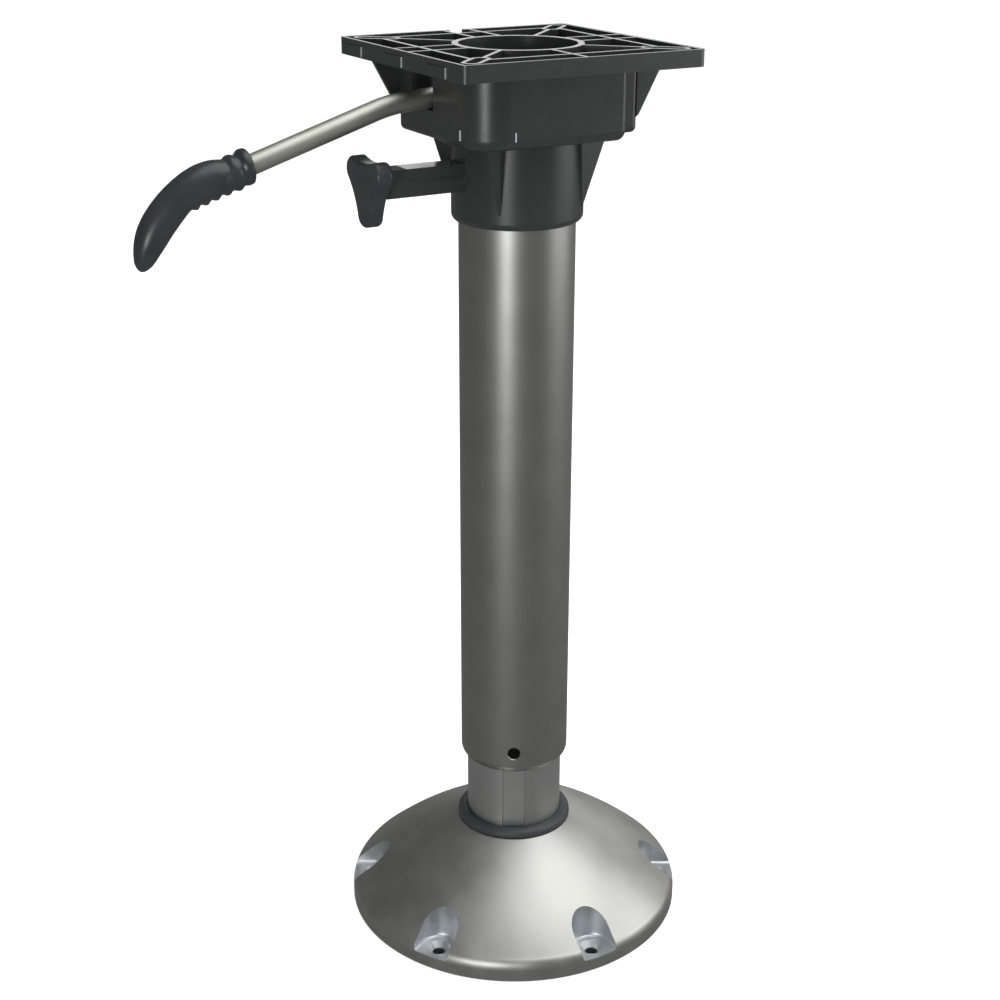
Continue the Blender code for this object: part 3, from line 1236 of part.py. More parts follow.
def bent_path(corners, radius, steps=4):
    """A path with straight runs and an arc of the given radius at each inner corner."""
    points = [corners[0]]
    for before, here, after in zip(corners, corners[1:], corners[2:]):
        back, ahead = (before - here).normalized(), (after - here).normalized()
        half = back.angle(ahead) / 2
        start, end = here + back * radius / math.tan(half), here + ahead * radius / math.tan(half)
        for k in range(steps + 1):
            t = k / steps
            points.append(start.lerp(here, t).lerp(here.lerp(end, t), t))
    return [*points, corners[-1]]


def swept_bar(path, radius, steps=SMALL_STEPS):
    """A round bar along a path in the plane Y = 0, with a small chamfer at each end."""
    chamfer = 0.8 * MM
    first, last = path[0], path[-1]
    after_first = first.lerp(path[1], chamfer / (path[1] - first).length)
    before_last = last.lerp(path[-2], chamfer / (path[-2] - last).length)
    path = [first, after_first, *path[1:-1], before_last, last]
    rings = []
    for i, here in enumerate(path):
        along = (path[min(i + 1, len(path) - 1)] - path[max(i - 1, 0)]).normalized()
        side = Vector((0, 1, 0))
        up = along.cross(side)
        reach = radius - chamfer if i in (0, len(path) - 1) else radius
        turns = [math.tau * k / steps for k in range(steps)]
        rings.append([here + reach * (side * math.cos(a) + up * math.sin(a)) for a in turns])
    return loft(rings)


def make_lever_rod(frame):
    """Bent rod with a milled tongue over the release pin and a cross hole for its pivot."""
    rod = node("lever_rod", swept_bar(bent_path(lever_corners(), LEVER_BEND_RADIUS), LEVER_RADIUS), frame, LEVER_SATIN)
    reach = LEVER_RADIUS + OVERCUT
    flat = block(
        (PIVOT_X + LEVER_TONGUE_ROOT, -reach, PIVOT_Z - reach),
        (LEVER_TONGUE_X + OVERCUT, reach, PIVOT_Z - LEVER_TONGUE_DROP),
    )
    cut(rod, "tongue_flat", flat, frame)
    hole = disc_shape(PIVOT_PIN_RADIUS + SLIDE_GAP, -reach, reach, SMALL_STEPS)
    cut(rod, "lever_pivot_hole", aimed(hole, (0, 1, 0), (PIVOT_X, 0, PIVOT_Z)), frame)


def make_lever_pivot(frame):
    """The pin through the mount's ears and a push-on clip at each end."""
    half = LUG_OUTER_Y + CLIP_THICKNESS + 2 * SEAT_GAP
    groove_depth = 0.5 * MM
    groove_start = LUG_OUTER_Y + SEAT_GAP / 2
    groove_end = LUG_OUTER_Y + CLIP_THICKNESS + 1.5 * SEAT_GAP
    waist = PIVOT_PIN_RADIUS - groove_depth
    grooves = [
        (PIVOT_PIN_RADIUS, groove_start),
        (waist, groove_start),
        (waist, groove_end),
        (PIVOT_PIN_RADIUS, groove_end),
        (PIVOT_PIN_RADIUS, half),
    ]
    profile = [(0, -half), *[(r, -y) for r, y in reversed(grooves)], *grooves, (0, half)]
    pin = aimed(turned(profile, SMALL_STEPS, False), (0, 1, 0), (PIVOT_X, 0, PIVOT_Z))
    node("lever_pivot_pin", pin, frame, BRIGHT_ROD)
    for name, direction in (("pivot_clip_near", -1), ("pivot_clip_far", 1)):
        start = LUG_OUTER_Y + SEAT_GAP
        clip = ring_shape(waist + SEAT_GAP, CLIP_RADIUS, start, start + CLIP_THICKNESS, SMALL_STEPS)
        clip = aimed(clip, (0, direction, 0), (PIVOT_X, 0, PIVOT_Z))
        ring = node(name, clip, frame, BLACK_STEEL)
        gap = waist * 0.8
        mouth = block(
            (PIVOT_X - gap, -half - OVERCUT, PIVOT_Z),
            (PIVOT_X + gap, half + OVERCUT, PIVOT_Z + CLIP_RADIUS + OVERCUT),
        )
        cut(ring, name + "_mouth", mouth, frame)


def grip_point(t):
    """A point and a unit tangent on the grip's spine."""
    start, knee, tip = [Vector((-out, 0, PLATE_TOP_Z - down)) for out, down in (GRIP_START, GRIP_KNEE, GRIP_TIP)]
    point = start * (1 - t) ** 2 + knee * 2 * t * (1 - t) + tip * t**2
    along = (knee - start) * (1 - t) + (tip - knee) * t
    return point, along.normalized()


# Share of the spine, and how far the grip's section reaches up, down and to each side there
GRIP_SECTIONS = (
    (0.000, 9.2, 9.2, 9.2),
    (0.010, 10.6, 10.7, 10.6),
    (0.038, 10.6, 10.7, 10.6),
    (0.056, 8.5, 9.9, 9.1),
    (0.068, 8.6, 10.0, 9.2),
    (0.082, 9.6, 10.1, 9.8),
    (0.100, 9.6, 10.2, 9.9),
    (0.120, 8.3, 10.4, 9.2),
    (0.142, 9.3, 10.3, 9.6),
    (0.183, 10.8, 9.9, 10.1),
    (0.245, 12.0, 9.7, 10.4),
    (0.320, 12.4, 9.0, 10.4),
    (0.400, 12.0, 7.8, 10.2),
    (0.428, 11.8, 7.4, 10.1),
    (0.490, 11.5, 8.3, 10.0),
    (0.550, 11.1, 9.0, 9.9),
    (0.670, 10.3, 9.6, 9.5),
    (0.735, 9.7, 9.4, 9.1),
    (0.820, 8.3, 8.6, 8.1),
    (0.900, 6.4, 7.1, 6.4),
    (0.940, 5.3, 5.9, 5.2),
    (0.980, 3.0, 3.5, 3.0),
    (1.000, 1.2, 1.3, 1.0),
)


def grip_section(t):
    """How far the grip reaches up, down and to each side at a share of the spine, between the listed sections."""
    for (t0, *near), (t1, *far) in zip(GRIP_SECTIONS, GRIP_SECTIONS[1:]):
        if t <= t1:
            s = (t - t0) / (t1 - t0)
            return [(a + (b - a) * s) * MM for a, b in zip(near, far)]
    return [reach * MM for reach in GRIP_SECTIONS[-1][1:]]


def grip_stations():
    """Where the grip's sections are taken: at each listed one, and four to a finger ridge."""
    ridges = [RIDGE_START + (RIDGE_END - RIDGE_START) * k / (4 * RIDGE_COUNT) for k in range(4 * RIDGE_COUNT + 1)]
    listed = [section[0] for section in GRIP_SECTIONS]
    stations = []
    for t in sorted({*ridges, *listed}):
        if not stations or t - stations[-1] > 0.004:
            stations.append(t)
    stations[-1] = 1.0
    return stations


def ridge_rise(t):
    """Height of the finger ridges under the grip at a share of the spine."""
    if not RIDGE_START < t < RIDGE_END:
        return 0.0
    phase = (t - RIDGE_START) / (RIDGE_END - RIDGE_START) * RIDGE_COUNT
    return RIDGE_HEIGHT * (1 - math.cos(math.tau * phase))


def make_lever_grip(frame):
    """Moulded hand grip lofted along its spine, with two ring beads and finger ridges underneath."""
    rings = []
    for t in grip_stations():
        centre, along = grip_point(t)
        side = Vector((0, 1, 0))
        up = side.cross(along)
        if up.z < 0:
            up = -up
        high, low, wide = grip_section(t)
        ring = []
        for k in range(GRIP_STEPS):
            angle = math.tau * k / GRIP_STEPS
            lift = (high if math.sin(angle) > 0 else low) * math.sin(angle)
            if math.sin(angle) < -0.5:
                lift -= ridge_rise(t)
            ring.append(centre + side * wide * math.cos(angle) + up * lift)
        rings.append(ring)
    grip = node("lever_grip", loft(rings), frame, BLACK_GRIP)
    *_, bend, end = lever_corners()
    along = (end - bend).normalized()
    start = bend.lerp(end, 0.5)
    bore = disc_shape(LEVER_RADIUS + SEAT_GAP, 0, (end - start).length + SEAT_GAP, SMALL_STEPS)
    cut(grip, "grip_bore", aimed(bore, along, start), frame)


def knob_outline(web, lobe):
    """Three lobes round a web, joined by straight flanks, in the plane across the knob's axis."""
    points = []
    arc_steps = 6
    lean = math.asin(min(1.0, (web - lobe) / KNOB_LOBE_CIRCLE))
    spread = math.pi / 2 + lean
    for k in range(3):
        middle = -math.pi / 2 + k * math.tau / 3
        centre = KNOB_LOBE_CIRCLE * Vector((math.cos(middle), math.sin(middle)))
        for j in range(arc_steps + 1):
            angle = middle - spread + 2 * spread * j / arc_steps
            points.append(tuple(centre + lobe * Vector((math.cos(angle), math.sin(angle)))))
        waist = middle + math.pi / 3
        points.append((web * math.cos(waist), web * math.sin(waist)))
    return points


def make_friction_knob(frame):
    """Three-lobed knob with a short hub behind it."""
    face = KNOB_BACK_X - KNOB_HUB_LENGTH
    end = face - KNOB_THICKNESS
    rings = []
    bevel_steps = 3
    for x, side in ((face, 1), (end, -1)):
        levels = []
        for k in range(bevel_steps + 1):
            angle = math.pi / 2 * k / bevel_steps
            levels.append((x - side * KNOB_EDGE * (1 - math.cos(angle)), KNOB_EDGE * (1 - math.sin(angle))))
        rings += levels if side > 0 else reversed(levels)
    sections = [
        [(x, y, KNOB_Z + z) for y, z in knob_outline(KNOB_WEB_RADIUS - inset, KNOB_LOBE_RADIUS - inset)]
        for x, inset in rings
    ]
    knob = node("friction_knob", loft(sections), frame, BLACK_MOULDING)
    hub = disc_shape(KNOB_HUB_RADIUS, 0, KNOB_HUB_LENGTH + ROOT_BITE, SMALL_STEPS)
    add(knob, "knob_hub", aimed(hub, (-1, 0, 0), (KNOB_BACK_X, 0, KNOB_Z)), frame)
    depth = SCREW_GRIP_DEPTH + SEAT_GAP
    bore = disc_shape(SCREW_RADIUS + SEAT_GAP, -OVERCUT, depth, SMALL_STEPS)
    cut(knob, "knob_bore", aimed(bore, (-1, 0, 0), (KNOB_BACK_X, 0, KNOB_Z)), frame)


def make_friction_screw(frame):
    """Stud moulded in the knob, with a reduced tip that turns in the pad."""
    tip, shoulder = -SCREW_TIP_X, -PAD_BACK_X + SEAT_GAP
    end = -KNOB_BACK_X + SCREW_GRIP_DEPTH
    profile = [
        (0, tip),
        (SCREW_TIP_RADIUS, tip),
        (SCREW_TIP_RADIUS, shoulder),
        (SCREW_RADIUS, shoulder),
        (SCREW_RADIUS, end),
        (0, end),
    ]
    screw = aimed(turned(profile, SMALL_STEPS, False), (-1, 0, 0), (0, 0, KNOB_Z))
    node("friction_screw", screw, frame, ZINC_STEEL)


def make_friction_insert(frame):
    """Brass insert in the outer end of the knob's boss."""
    end = -KNOB_BOSS_END_X
    insert = ring_shape(SCREW_RADIUS + SLIDE_GAP, INSERT_RADIUS, end - INSERT_LENGTH, end - SEAT_GAP, SMALL_STEPS)
    node("friction_insert", aimed(insert, (-1, 0, 0), (0, 0, KNOB_Z)), frame, BRASS)


def make_friction_pad(frame):
    """Pad that the screw presses on the column's tube, with a socket for the screw's tip."""
    face, back = -PAD_FACE_X, -PAD_BACK_X
    socket = SCREW_TIP_RADIUS + SLIDE_GAP
    floor = -SCREW_TIP_X - SEAT_GAP
    profile = [(0, face), (PAD_RADIUS, face), (PAD_RADIUS, back), (socket, back), (socket, floor), (0, floor)]
    pad = aimed(turned(profile, SMALL_STEPS, False), (-1, 0, 0), (0, 0, KNOB_Z))
    node("friction_pad", pad, frame, BRASS)


def main():
    clear_scene()
    base = joint_frame("base_frame")
    column = joint_frame("height_axis", (0, 0, UPPER_TUBE_BOTTOM_Z))
    valve = joint_frame("valve_axis", (0, 0, NECK_TOP_Z))
    head = joint_frame("swivel_axis", (0, 0, LEDGE_BOTTOM_Z))
    lever = joint_frame("lever_axis", (PIVOT_X, 0, PIVOT_Z))
    clamp = joint_frame("clamp_axis", (KNOB_BACK_X, 0, KNOB_Z))
    make_base_casting(base)
    make_base_collar_ring(base)
    make_lower_tube(base)
    make_tube_foot(base)
    make_upper_slide_bush(base)
    make_piston_rod(base)
    make_upper_tube(column)
    make_lower_guide_bush(column)
    make_tube_top(column)
    make_gas_cylinder(column)
    make_release_pin(valve)
    make_swivel_mount(head)
    make_swivel_bush(head)
    make_friction_insert(head)
    make_lever_pivot(head)
    make_lever_rod(lever)
    make_lever_grip(lever)
    make_friction_knob(clamp)
    make_friction_screw(clamp)
    make_friction_pad(clamp)
    bpy.context.view_layer.update()


if __name__ == "__main__":
    main()
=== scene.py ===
"""Looks of a boat seat pedestal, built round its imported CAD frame.

A gas-lift column stands on a round cast base and carries a swivelling head, which is one black moulding
with a ribbed seat plate, a height lever and a clamp knob. All lengths are in metres, +Z is up, and the
origin is the centre of the base's underside. The lever and the knob point along -X.
"""

from __future__ import annotations

import json
import logging
import math
from collections.abc import Sequence
from dataclasses import dataclass, field
from enum import Enum

import bmesh
import bpy
import numpy as np
from mathutils import Matrix, Vector

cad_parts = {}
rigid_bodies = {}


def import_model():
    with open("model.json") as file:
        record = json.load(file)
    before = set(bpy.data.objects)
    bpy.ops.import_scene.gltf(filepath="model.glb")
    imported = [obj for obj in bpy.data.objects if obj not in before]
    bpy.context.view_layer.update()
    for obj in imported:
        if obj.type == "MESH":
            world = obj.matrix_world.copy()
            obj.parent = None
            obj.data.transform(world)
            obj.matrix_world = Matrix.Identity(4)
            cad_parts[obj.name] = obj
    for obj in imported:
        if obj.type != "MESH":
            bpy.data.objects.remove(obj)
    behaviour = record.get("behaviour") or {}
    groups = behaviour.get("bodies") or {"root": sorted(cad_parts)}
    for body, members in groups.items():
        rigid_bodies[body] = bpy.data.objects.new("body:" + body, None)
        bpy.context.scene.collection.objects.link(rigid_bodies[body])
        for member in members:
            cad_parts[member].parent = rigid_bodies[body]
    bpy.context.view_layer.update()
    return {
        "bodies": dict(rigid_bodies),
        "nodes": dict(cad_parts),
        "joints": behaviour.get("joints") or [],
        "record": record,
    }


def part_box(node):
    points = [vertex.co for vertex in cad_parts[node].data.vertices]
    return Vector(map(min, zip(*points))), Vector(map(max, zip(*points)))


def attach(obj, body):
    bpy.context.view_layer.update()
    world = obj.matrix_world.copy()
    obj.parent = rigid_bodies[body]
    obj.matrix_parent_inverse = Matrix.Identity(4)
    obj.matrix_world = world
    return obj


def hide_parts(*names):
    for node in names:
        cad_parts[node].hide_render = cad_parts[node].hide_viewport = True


LOG = logging.getLogger("pedestal")
MM = 0.001
# How far a cutter reaches past what it cuts, and how deep a form's root sinks into what carries it
PAST = 1.0 * MM
SUNK = 1.5 * MM
TAU = math.tau
Array = np.ndarray


# Arrays of points


def unit(vectors: Array) -> Array:
    """Vectors divided by their own lengths."""
    return vectors / np.maximum(np.linalg.norm(vectors, axis=-1, keepdims=True), 1e-12)


def directions(angles: Array) -> Array:
    """Unit vectors at angles in a plane."""
    return np.stack([np.cos(angles), np.sin(angles)], axis=-1)


def full_turn(count: int) -> Array:
    """Even angles once round, from 0."""
    return np.arange(count) * TAU / count


def quarters(count: int) -> Array:
    """Even angles once round, from half a step."""
    return TAU * (np.arange(count) + 0.5) / count


def without_repeats(points: Array) -> Array:
    """Points less each one that lies on the one before it."""
    steps = np.linalg.norm(np.diff(points, axis=0), axis=1)
    return points[np.concatenate([[True], steps > 1e-7])]


def softened(corners: Array, radii: Array, steps: int = 6, closed: bool = False) -> Array:
    """A path through corners, with an arc at each one that has a radius.

    At each corner the arc's centre lies on the bisector, at radius / sin(half the angle), and the arc
    runs between the points at radius / tan(half the angle) along each side.

    Args:
        corners: corner points, one row of two coordinates each.
        radii: one radius for each corner. An open path's ends need 0.
        steps: arc steps at each corner.
        closed: whether the last corner joins the first.

    Returns:
        The path's points, one row each.
    """
    before, after = np.roll(corners, 1, axis=0), np.roll(corners, -1, axis=0)
    if not closed:
        before[0], after[-1] = 2 * corners[0] - corners[1], 2 * corners[-1] - corners[-2]
    back, ahead = unit(before - corners), unit(after - corners)
    half = np.arccos(np.clip((back * ahead).sum(axis=1), -1, 1)) / 2
    reach = (radii / np.tan(half))[:, None]
    centre = corners + unit(back + ahead + 1e-12) * (radii / np.sin(half))[:, None]
    first, last = corners + back * reach - centre, corners + ahead * reach - centre
    start = np.arctan2(first[:, 1], first[:, 0])
    turn = np.arctan2(last[:, 1], last[:, 0]) - start
    turn = (turn + np.pi) % TAU - np.pi
    angles = start[:, None] + turn[:, None] * np.linspace(0, 1, steps + 1)
    arcs = centre[:, None] + radii[:, None, None] * directions(angles)
    arcs = np.where(radii[:, None, None] > 0, arcs, corners[:, None])
    return without_repeats(arcs.reshape(-1, 2))


def revolved(profile: Array, segments: int) -> Array:
    """A profile of (radius, height) rows turned round Z.

    Point (i, j) is profile point i at angle 2 pi j / segments.

    Args:
        profile: rows of radius and height.
        segments: steps round the axis.

    Returns:
        A grid of points, (profile points, segments, 3).
    """
    angles = full_turn(segments)
    radius, height = profile[:, :1], profile[:, 1:]
    return np.stack([radius * np.cos(angles), radius * np.sin(angles), height + 0 * angles], axis=-1)


def lifted(outlines: Sequence[Array], heights: Sequence[float]) -> Array:
    """Flat outlines, one for each height, as a grid of points (heights, outline points, 3)."""
    levels = np.asarray(heights, float)[:, None, None]
    flat = np.stack(outlines)
    return np.concatenate([flat, np.broadcast_to(levels, (*flat.shape[:2], 1))], axis=-1)


def prism(plan: Array, low: float, high: float) -> Array:
    """An upright prism on a plan, as a grid of two rows."""
    return lifted([plan, plan], [low, high])


def carried(path: Array, section: Array) -> Array:
    """A section carried along a path in the plane Y = 0.

    At each path point, the section's first coordinate goes along Y and its second along the path's
    normal in the plane, which is the tangent turned a quarter.

    Args:
        path: rows of X and Z.
        section: (path points, section points, 2), or (section points, 2) for one section throughout.

    Returns:
        A grid of points, (path points, section points, 3).
    """
    along = unit(np.gradient(path, axis=0))
    normal = np.stack([along[:, 1], -along[:, 0]], axis=-1)
    normal *= np.sign(normal[:, 1:].mean())
    section = np.broadcast_to(section, (len(path), *section.shape[-2:]))
    side, up = section[..., 0], section[..., 1]
    x = path[:, :1] + up * normal[:, :1]
    z = path[:, 1:] + up * normal[:, 1:]
    return np.stack([x, side, z], axis=-1)


def along_minus_x(points: Array, height: float) -> Array:
    """Points built along +Z turned to lie along -X at a height: Z becomes -X, X becomes Z, Y stays."""
    return np.stack([-points[..., 2], points[..., 1], height + points[..., 0]], axis=-1)


def turned_about_z(points: Array, angle: float) -> Array:
    """Points turned round Z."""
    c, s = math.cos(angle), math.sin(angle)
    x, y = points[..., 0], points[..., 1]
    return np.stack([c * x - s * y, s * x + c * y, points[..., 2]], axis=-1)


def square_corners(half_x: float, half_y: float) -> Array:
    """Corners of a rectangle on the axis, anticlockwise."""
    return np.array([[-half_x, -half_y], [half_x, -half_y], [half_x, half_y], [-half_x, half_y]])


def inset_corners(corners: Array, inset: float) -> Array:
    """A polygon's corners moved in by an inset, along each corner's bisector."""
    back = unit(np.roll(corners, 1, axis=0) - corners)
    ahead = unit(np.roll(corners, -1, axis=0) - corners)
    half = np.arccos(np.clip((back * ahead).sum(axis=1), -1, 1)) / 2
    return corners + unit(back + ahead) * (inset / np.sin(half))[:, None]


def slot_outline(inner: float, outer: float, half_width: float, steps: int = 16) -> Array:
    """A slot along +X with round ends, from one end's centre to the other's."""
    angles = np.linspace(-math.pi / 2, math.pi / 2, steps + 1)
    arc = half_width * directions(angles)
    return np.concatenate([arc + [outer, 0], [inner, 0] - arc])


def box_grid(low: Sequence[float], high: Sequence[float]) -> Array:
    """A box between two corners as a grid of two square rows."""
    (x0, y0, z0), (x1, y1, z1) = low, high
    return prism(np.array([[x0, y0], [x1, y0], [x1, y1], [x0, y1]]), z0, z1)


# Meshes


def linked(name: str, data: bpy.types.ID) -> bpy.types.Object:
    """A new object that holds a mesh, a light or a camera, linked to the scene at the origin."""
    thing = bpy.data.objects.new(name, data)
    bpy.context.scene.collection.objects.link(thing)
    return thing


def grid_object(name: str, grid: Array, ring: bool = False) -> bpy.types.Object:
    """A closed solid from a grid whose second parameter runs round.

    Quads join each grid row to the next. The first and last rows are closed with a flat face, or joined
    to each other for a ring. Rows that shrink to a point are merged into a pole.

    Args:
        name: the object's name.
        grid: points, (rows, points round, 3).
        ring: whether the last row joins the first.

    Returns:
        The object, linked to the scene, at the origin.
    """
    rows, count = grid.shape[:2]
    index = np.arange(rows * count).reshape(rows, count)
    lower = index if ring else index[:-1]
    upper = np.roll(index, -1, axis=0) if ring else index[1:]
    quads = np.stack([lower, np.roll(lower, -1, axis=1), np.roll(upper, -1, axis=1), upper], axis=-1)
    faces = quads.reshape(-1, 4).tolist()
    if not ring:
        faces += [index[0].tolist(), index[-1].tolist()]
    mesh = bpy.data.meshes.new(name)
    mesh.from_pydata(grid.reshape(-1, 3), [], faces)
    shape = bmesh.new()
    shape.from_mesh(mesh)
    bmesh.ops.remove_doubles(shape, verts=shape.verts, dist=1e-7)
    bmesh.ops.dissolve_degenerate(shape, edges=shape.edges, dist=1e-7)
    bmesh.ops.recalc_face_normals(shape, faces=shape.faces)
    shape.to_mesh(mesh)
    shape.free()
    return linked(name, mesh)


def joined(name: str, things: Sequence[bpy.types.Object]) -> bpy.types.Object:
    """Objects that don't touch, as one object.

    Args:
        name: the new object's name.
        things: objects to take up. They are removed.

    Returns:
        The new object.
    """
    shape = bmesh.new()
    for thing in things:
        shape.from_mesh(thing.data)
        discard(thing)
    mesh = bpy.data.meshes.new(name)
    shape.to_mesh(mesh)
    shape.free()
    return linked(name, mesh)


def spaced(name: str, grids: Sequence[Array]) -> bpy.types.Object:
    """Solids that don't touch, one for each grid, as one object."""
    return joined(name, [grid_object(f"{name}_{k}", grid) for k, grid in enumerate(grids)])


def round_copies(name: str, grid: Array, angles: Sequence[float]) -> bpy.types.Object:
    """Copies of a solid turned round Z, one for each angle, as one object."""
    return spaced(name, [turned_about_z(grid, angle) for angle in angles])


def discard(thing: bpy.types.Object) -> None:
    """Removes an object and its mesh."""
    mesh = thing.data
    bpy.data.objects.remove(thing, do_unlink=True)
    bpy.data.meshes.remove(mesh)


class Cut(Enum):
    """How one solid changes another."""

    AWAY = "DIFFERENCE"
    ON = "UNION"


def shaped(blank: bpy.types.Object, steps: Sequence[tuple[Cut, bpy.types.Object]]) -> bpy.types.Object:
    """Applies solids to a blank in order, and removes them.

    Args:
        blank: the solid to shape.
        steps: pairs of how and with what.

    Returns:
        The blank, with its new mesh.
    """
    for how, solid in steps:
        boolean = blank.modifiers.new(solid.name, "BOOLEAN")
        boolean.operation = how.value
        boolean.solver = "EXACT"
        boolean.object = solid
    settle(blank)
    for _, solid in steps:
        discard(solid)
    return blank


def settle(thing: bpy.types.Object) -> None:
    """Applies an object's modifiers to its mesh."""
    graph = bpy.context.evaluated_depsgraph_get()
    graph.update()
    old = thing.data
    mesh = bpy.data.meshes.new_from_object(thing.evaluated_get(graph))
    thing.modifiers.clear()
    thing.data = mesh
    mesh.name = thing.name
    bpy.data.meshes.remove(old)


def eased(thing: bpy.types.Object, width: float, segments: int = 2, angle: float = 35.0) -> None:
    """Rounds an object's sharp edges and smooths its shading.

    Args:
        thing: the object.
        width: the bevel's width.
        segments: the bevel's segments.
        angle: edges that bend more than this many degrees are rounded.
    """
    weld = thing.modifiers.new("weld", "WELD")
    weld.merge_threshold = 1e-6
    triangles = thing.modifiers.new("triangles", "TRIANGULATE")
    triangles.min_vertices = 5
    bevel = thing.modifiers.new("bevel", "BEVEL")
    bevel.width = width
    bevel.segments = segments
    bevel.limit_method = "ANGLE"
    bevel.angle_limit = math.radians(angle)
    bevel.use_clamp_overlap = True
    bevel.miter_outer = "MITER_ARC"
    settle(thing)
    smoothed(thing, 50.0)


def smoothed(thing: bpy.types.Object, angle: float = 35.0) -> None:
    """Shades an object smooth, except over edges sharper than an angle in degrees."""
    thing.data.shade_smooth()
    thing.data.set_sharp_from_angle(angle=math.radians(angle))
    weighted = thing.modifiers.new("weighted", "WEIGHTED_NORMAL")
    weighted.keep_sharp = True
    weighted.weight = 80
    settle(thing)


def face_vectors(thing: bpy.types.Object, what: str) -> Array:
    """One row for each of an object's faces: its center or its normal."""
    values = np.empty(3 * len(thing.data.polygons))
    thing.data.polygons.foreach_get(what, values)
    return values.reshape(-1, 3)


# Finishes


class Board:
    """A node tree being wired."""

    def __init__(self, tree: bpy.types.NodeTree) -> None:
        """Keeps the tree to add nodes to."""
        self.tree = tree

    def add(self, kind: str, **settings: object) -> bpy.types.Node:
        """Adds a node and sets its properties, or its inputs where a name is an input's.

        Args:
            kind: the node's type name.
            settings: values by property name, or by input name with _ for a space.

        Returns:
            The node.
        """
        node = self.tree.nodes.new(kind)
        for key, value in settings.items():
            if hasattr(node, key):
                setattr(node, key, value)
            else:
                node.inputs[key.replace("_", " ")].default_value = value
        return node

    def join(self, source: bpy.types.NodeSocket, *targets: bpy.types.NodeSocket) -> None:
        """Links one output to one or more inputs."""
        for target in targets:
            self.tree.links.new(source, target)

    def by_ray(self, camera: float, mirrored: float, other: float) -> bpy.types.NodeSocket:
        """A value that depends on the ray that asks for it.

        Args:
            camera: the value for rays from the camera and rays let through.
            mirrored: the value for glossy rays.
            other: the value for the rest.

        Returns:
            The value's socket.
        """
        path = self.add("ShaderNodeLightPath")
        total = self.add("ShaderNodeMath", operation="MULTIPLY_ADD")
        total.inputs[1].default_value = mirrored - other
        total.inputs[2].default_value = other
        self.join(path.outputs["Is Glossy Ray"], total.inputs[0])
        for label in ("Is Camera Ray", "Is Transmission Ray"):
            more = self.add("ShaderNodeMath", operation="MULTIPLY_ADD")
            more.inputs[1].default_value = camera - other
            self.join(path.outputs[label], more.inputs[0])
            self.join(total.outputs[0], more.inputs[2])
            total = more
        return total.outputs[0]

    def spread(self, source: bpy.types.NodeSocket, low: float, high: float) -> bpy.types.NodeSocket:
        """Maps a value from 0..1 to low..high and returns the result's socket."""
        node = self.add("ShaderNodeMapRange")
        node.inputs["To Min"].default_value = low
        node.inputs["To Max"].default_value = high
        self.join(source, node.inputs["Value"])
        return node.outputs["Result"]

    def noise(
        self, place: bpy.types.NodeSocket, size: bpy.types.NodeSocket, **settings: float
    ) -> bpy.types.NodeSocket:
        """Noise from 0 to 1.

        Args:
            place: the coordinates.
            size: the noise's grain size in the coordinates' unit.
            settings: the noise node's own inputs.

        Returns:
            The value's socket.
        """
        scale = self.add("ShaderNodeMath", operation="DIVIDE")
        scale.inputs[0].default_value = 1.0
        self.join(size, scale.inputs[1])
        node = self.add("ShaderNodeTexNoise", **settings)
        self.join(place, node.inputs["Vector"])
        self.join(scale.outputs[0], node.inputs["Scale"])
        return node.outputs["Fac"]

    def blended(
        self,
        mask: bpy.types.NodeSocket,
        low: Sequence[float] | bpy.types.NodeSocket,
        high: Sequence[float] | bpy.types.NodeSocket,
    ) -> bpy.types.NodeSocket:
        """Blends two colours.

        Args:
            mask: 0 gives low and 1 gives high.
            low: three numbers, or a colour's socket.
            high: the same.

        Returns:
            The colour's socket.
        """
        node = self.add("ShaderNodeMix", data_type="RGBA")
        self.join(mask, node.inputs[0])
        for slot, colour in ((6, low), (7, high)):
            if isinstance(colour, bpy.types.NodeSocket):
                self.join(colour, node.inputs[slot])
            else:
                node.inputs[slot].default_value = (*colour, 1.0)
        return node.outputs[2]


def effect(
    name: str, inputs: dict[str, float | tuple], outputs: Sequence[str]
) -> tuple[Board, bpy.types.Node, bpy.types.Node]:
    """Starts a shader node group.

    Args:
        name: the group's name.
        inputs: each input's name and default value. A tuple makes a vector.
        outputs: each output's name. All are plain values.

    Returns:
        The group's board, its input node and its output node.
    """
    tree = bpy.data.node_groups.new(name, "ShaderNodeTree")
    for label, value in inputs.items():
        kind = "NodeSocketVector" if isinstance(value, tuple) else "NodeSocketFloat"
        socket = tree.interface.new_socket(name=label, in_out="INPUT", socket_type=kind)
        socket.default_value = value
    for label in outputs:
        tree.interface.new_socket(name=label, in_out="OUTPUT", socket_type="NodeSocketFloat")
    board = Board(tree)
    return board, board.add("NodeGroupInput"), board.add("NodeGroupOutput")


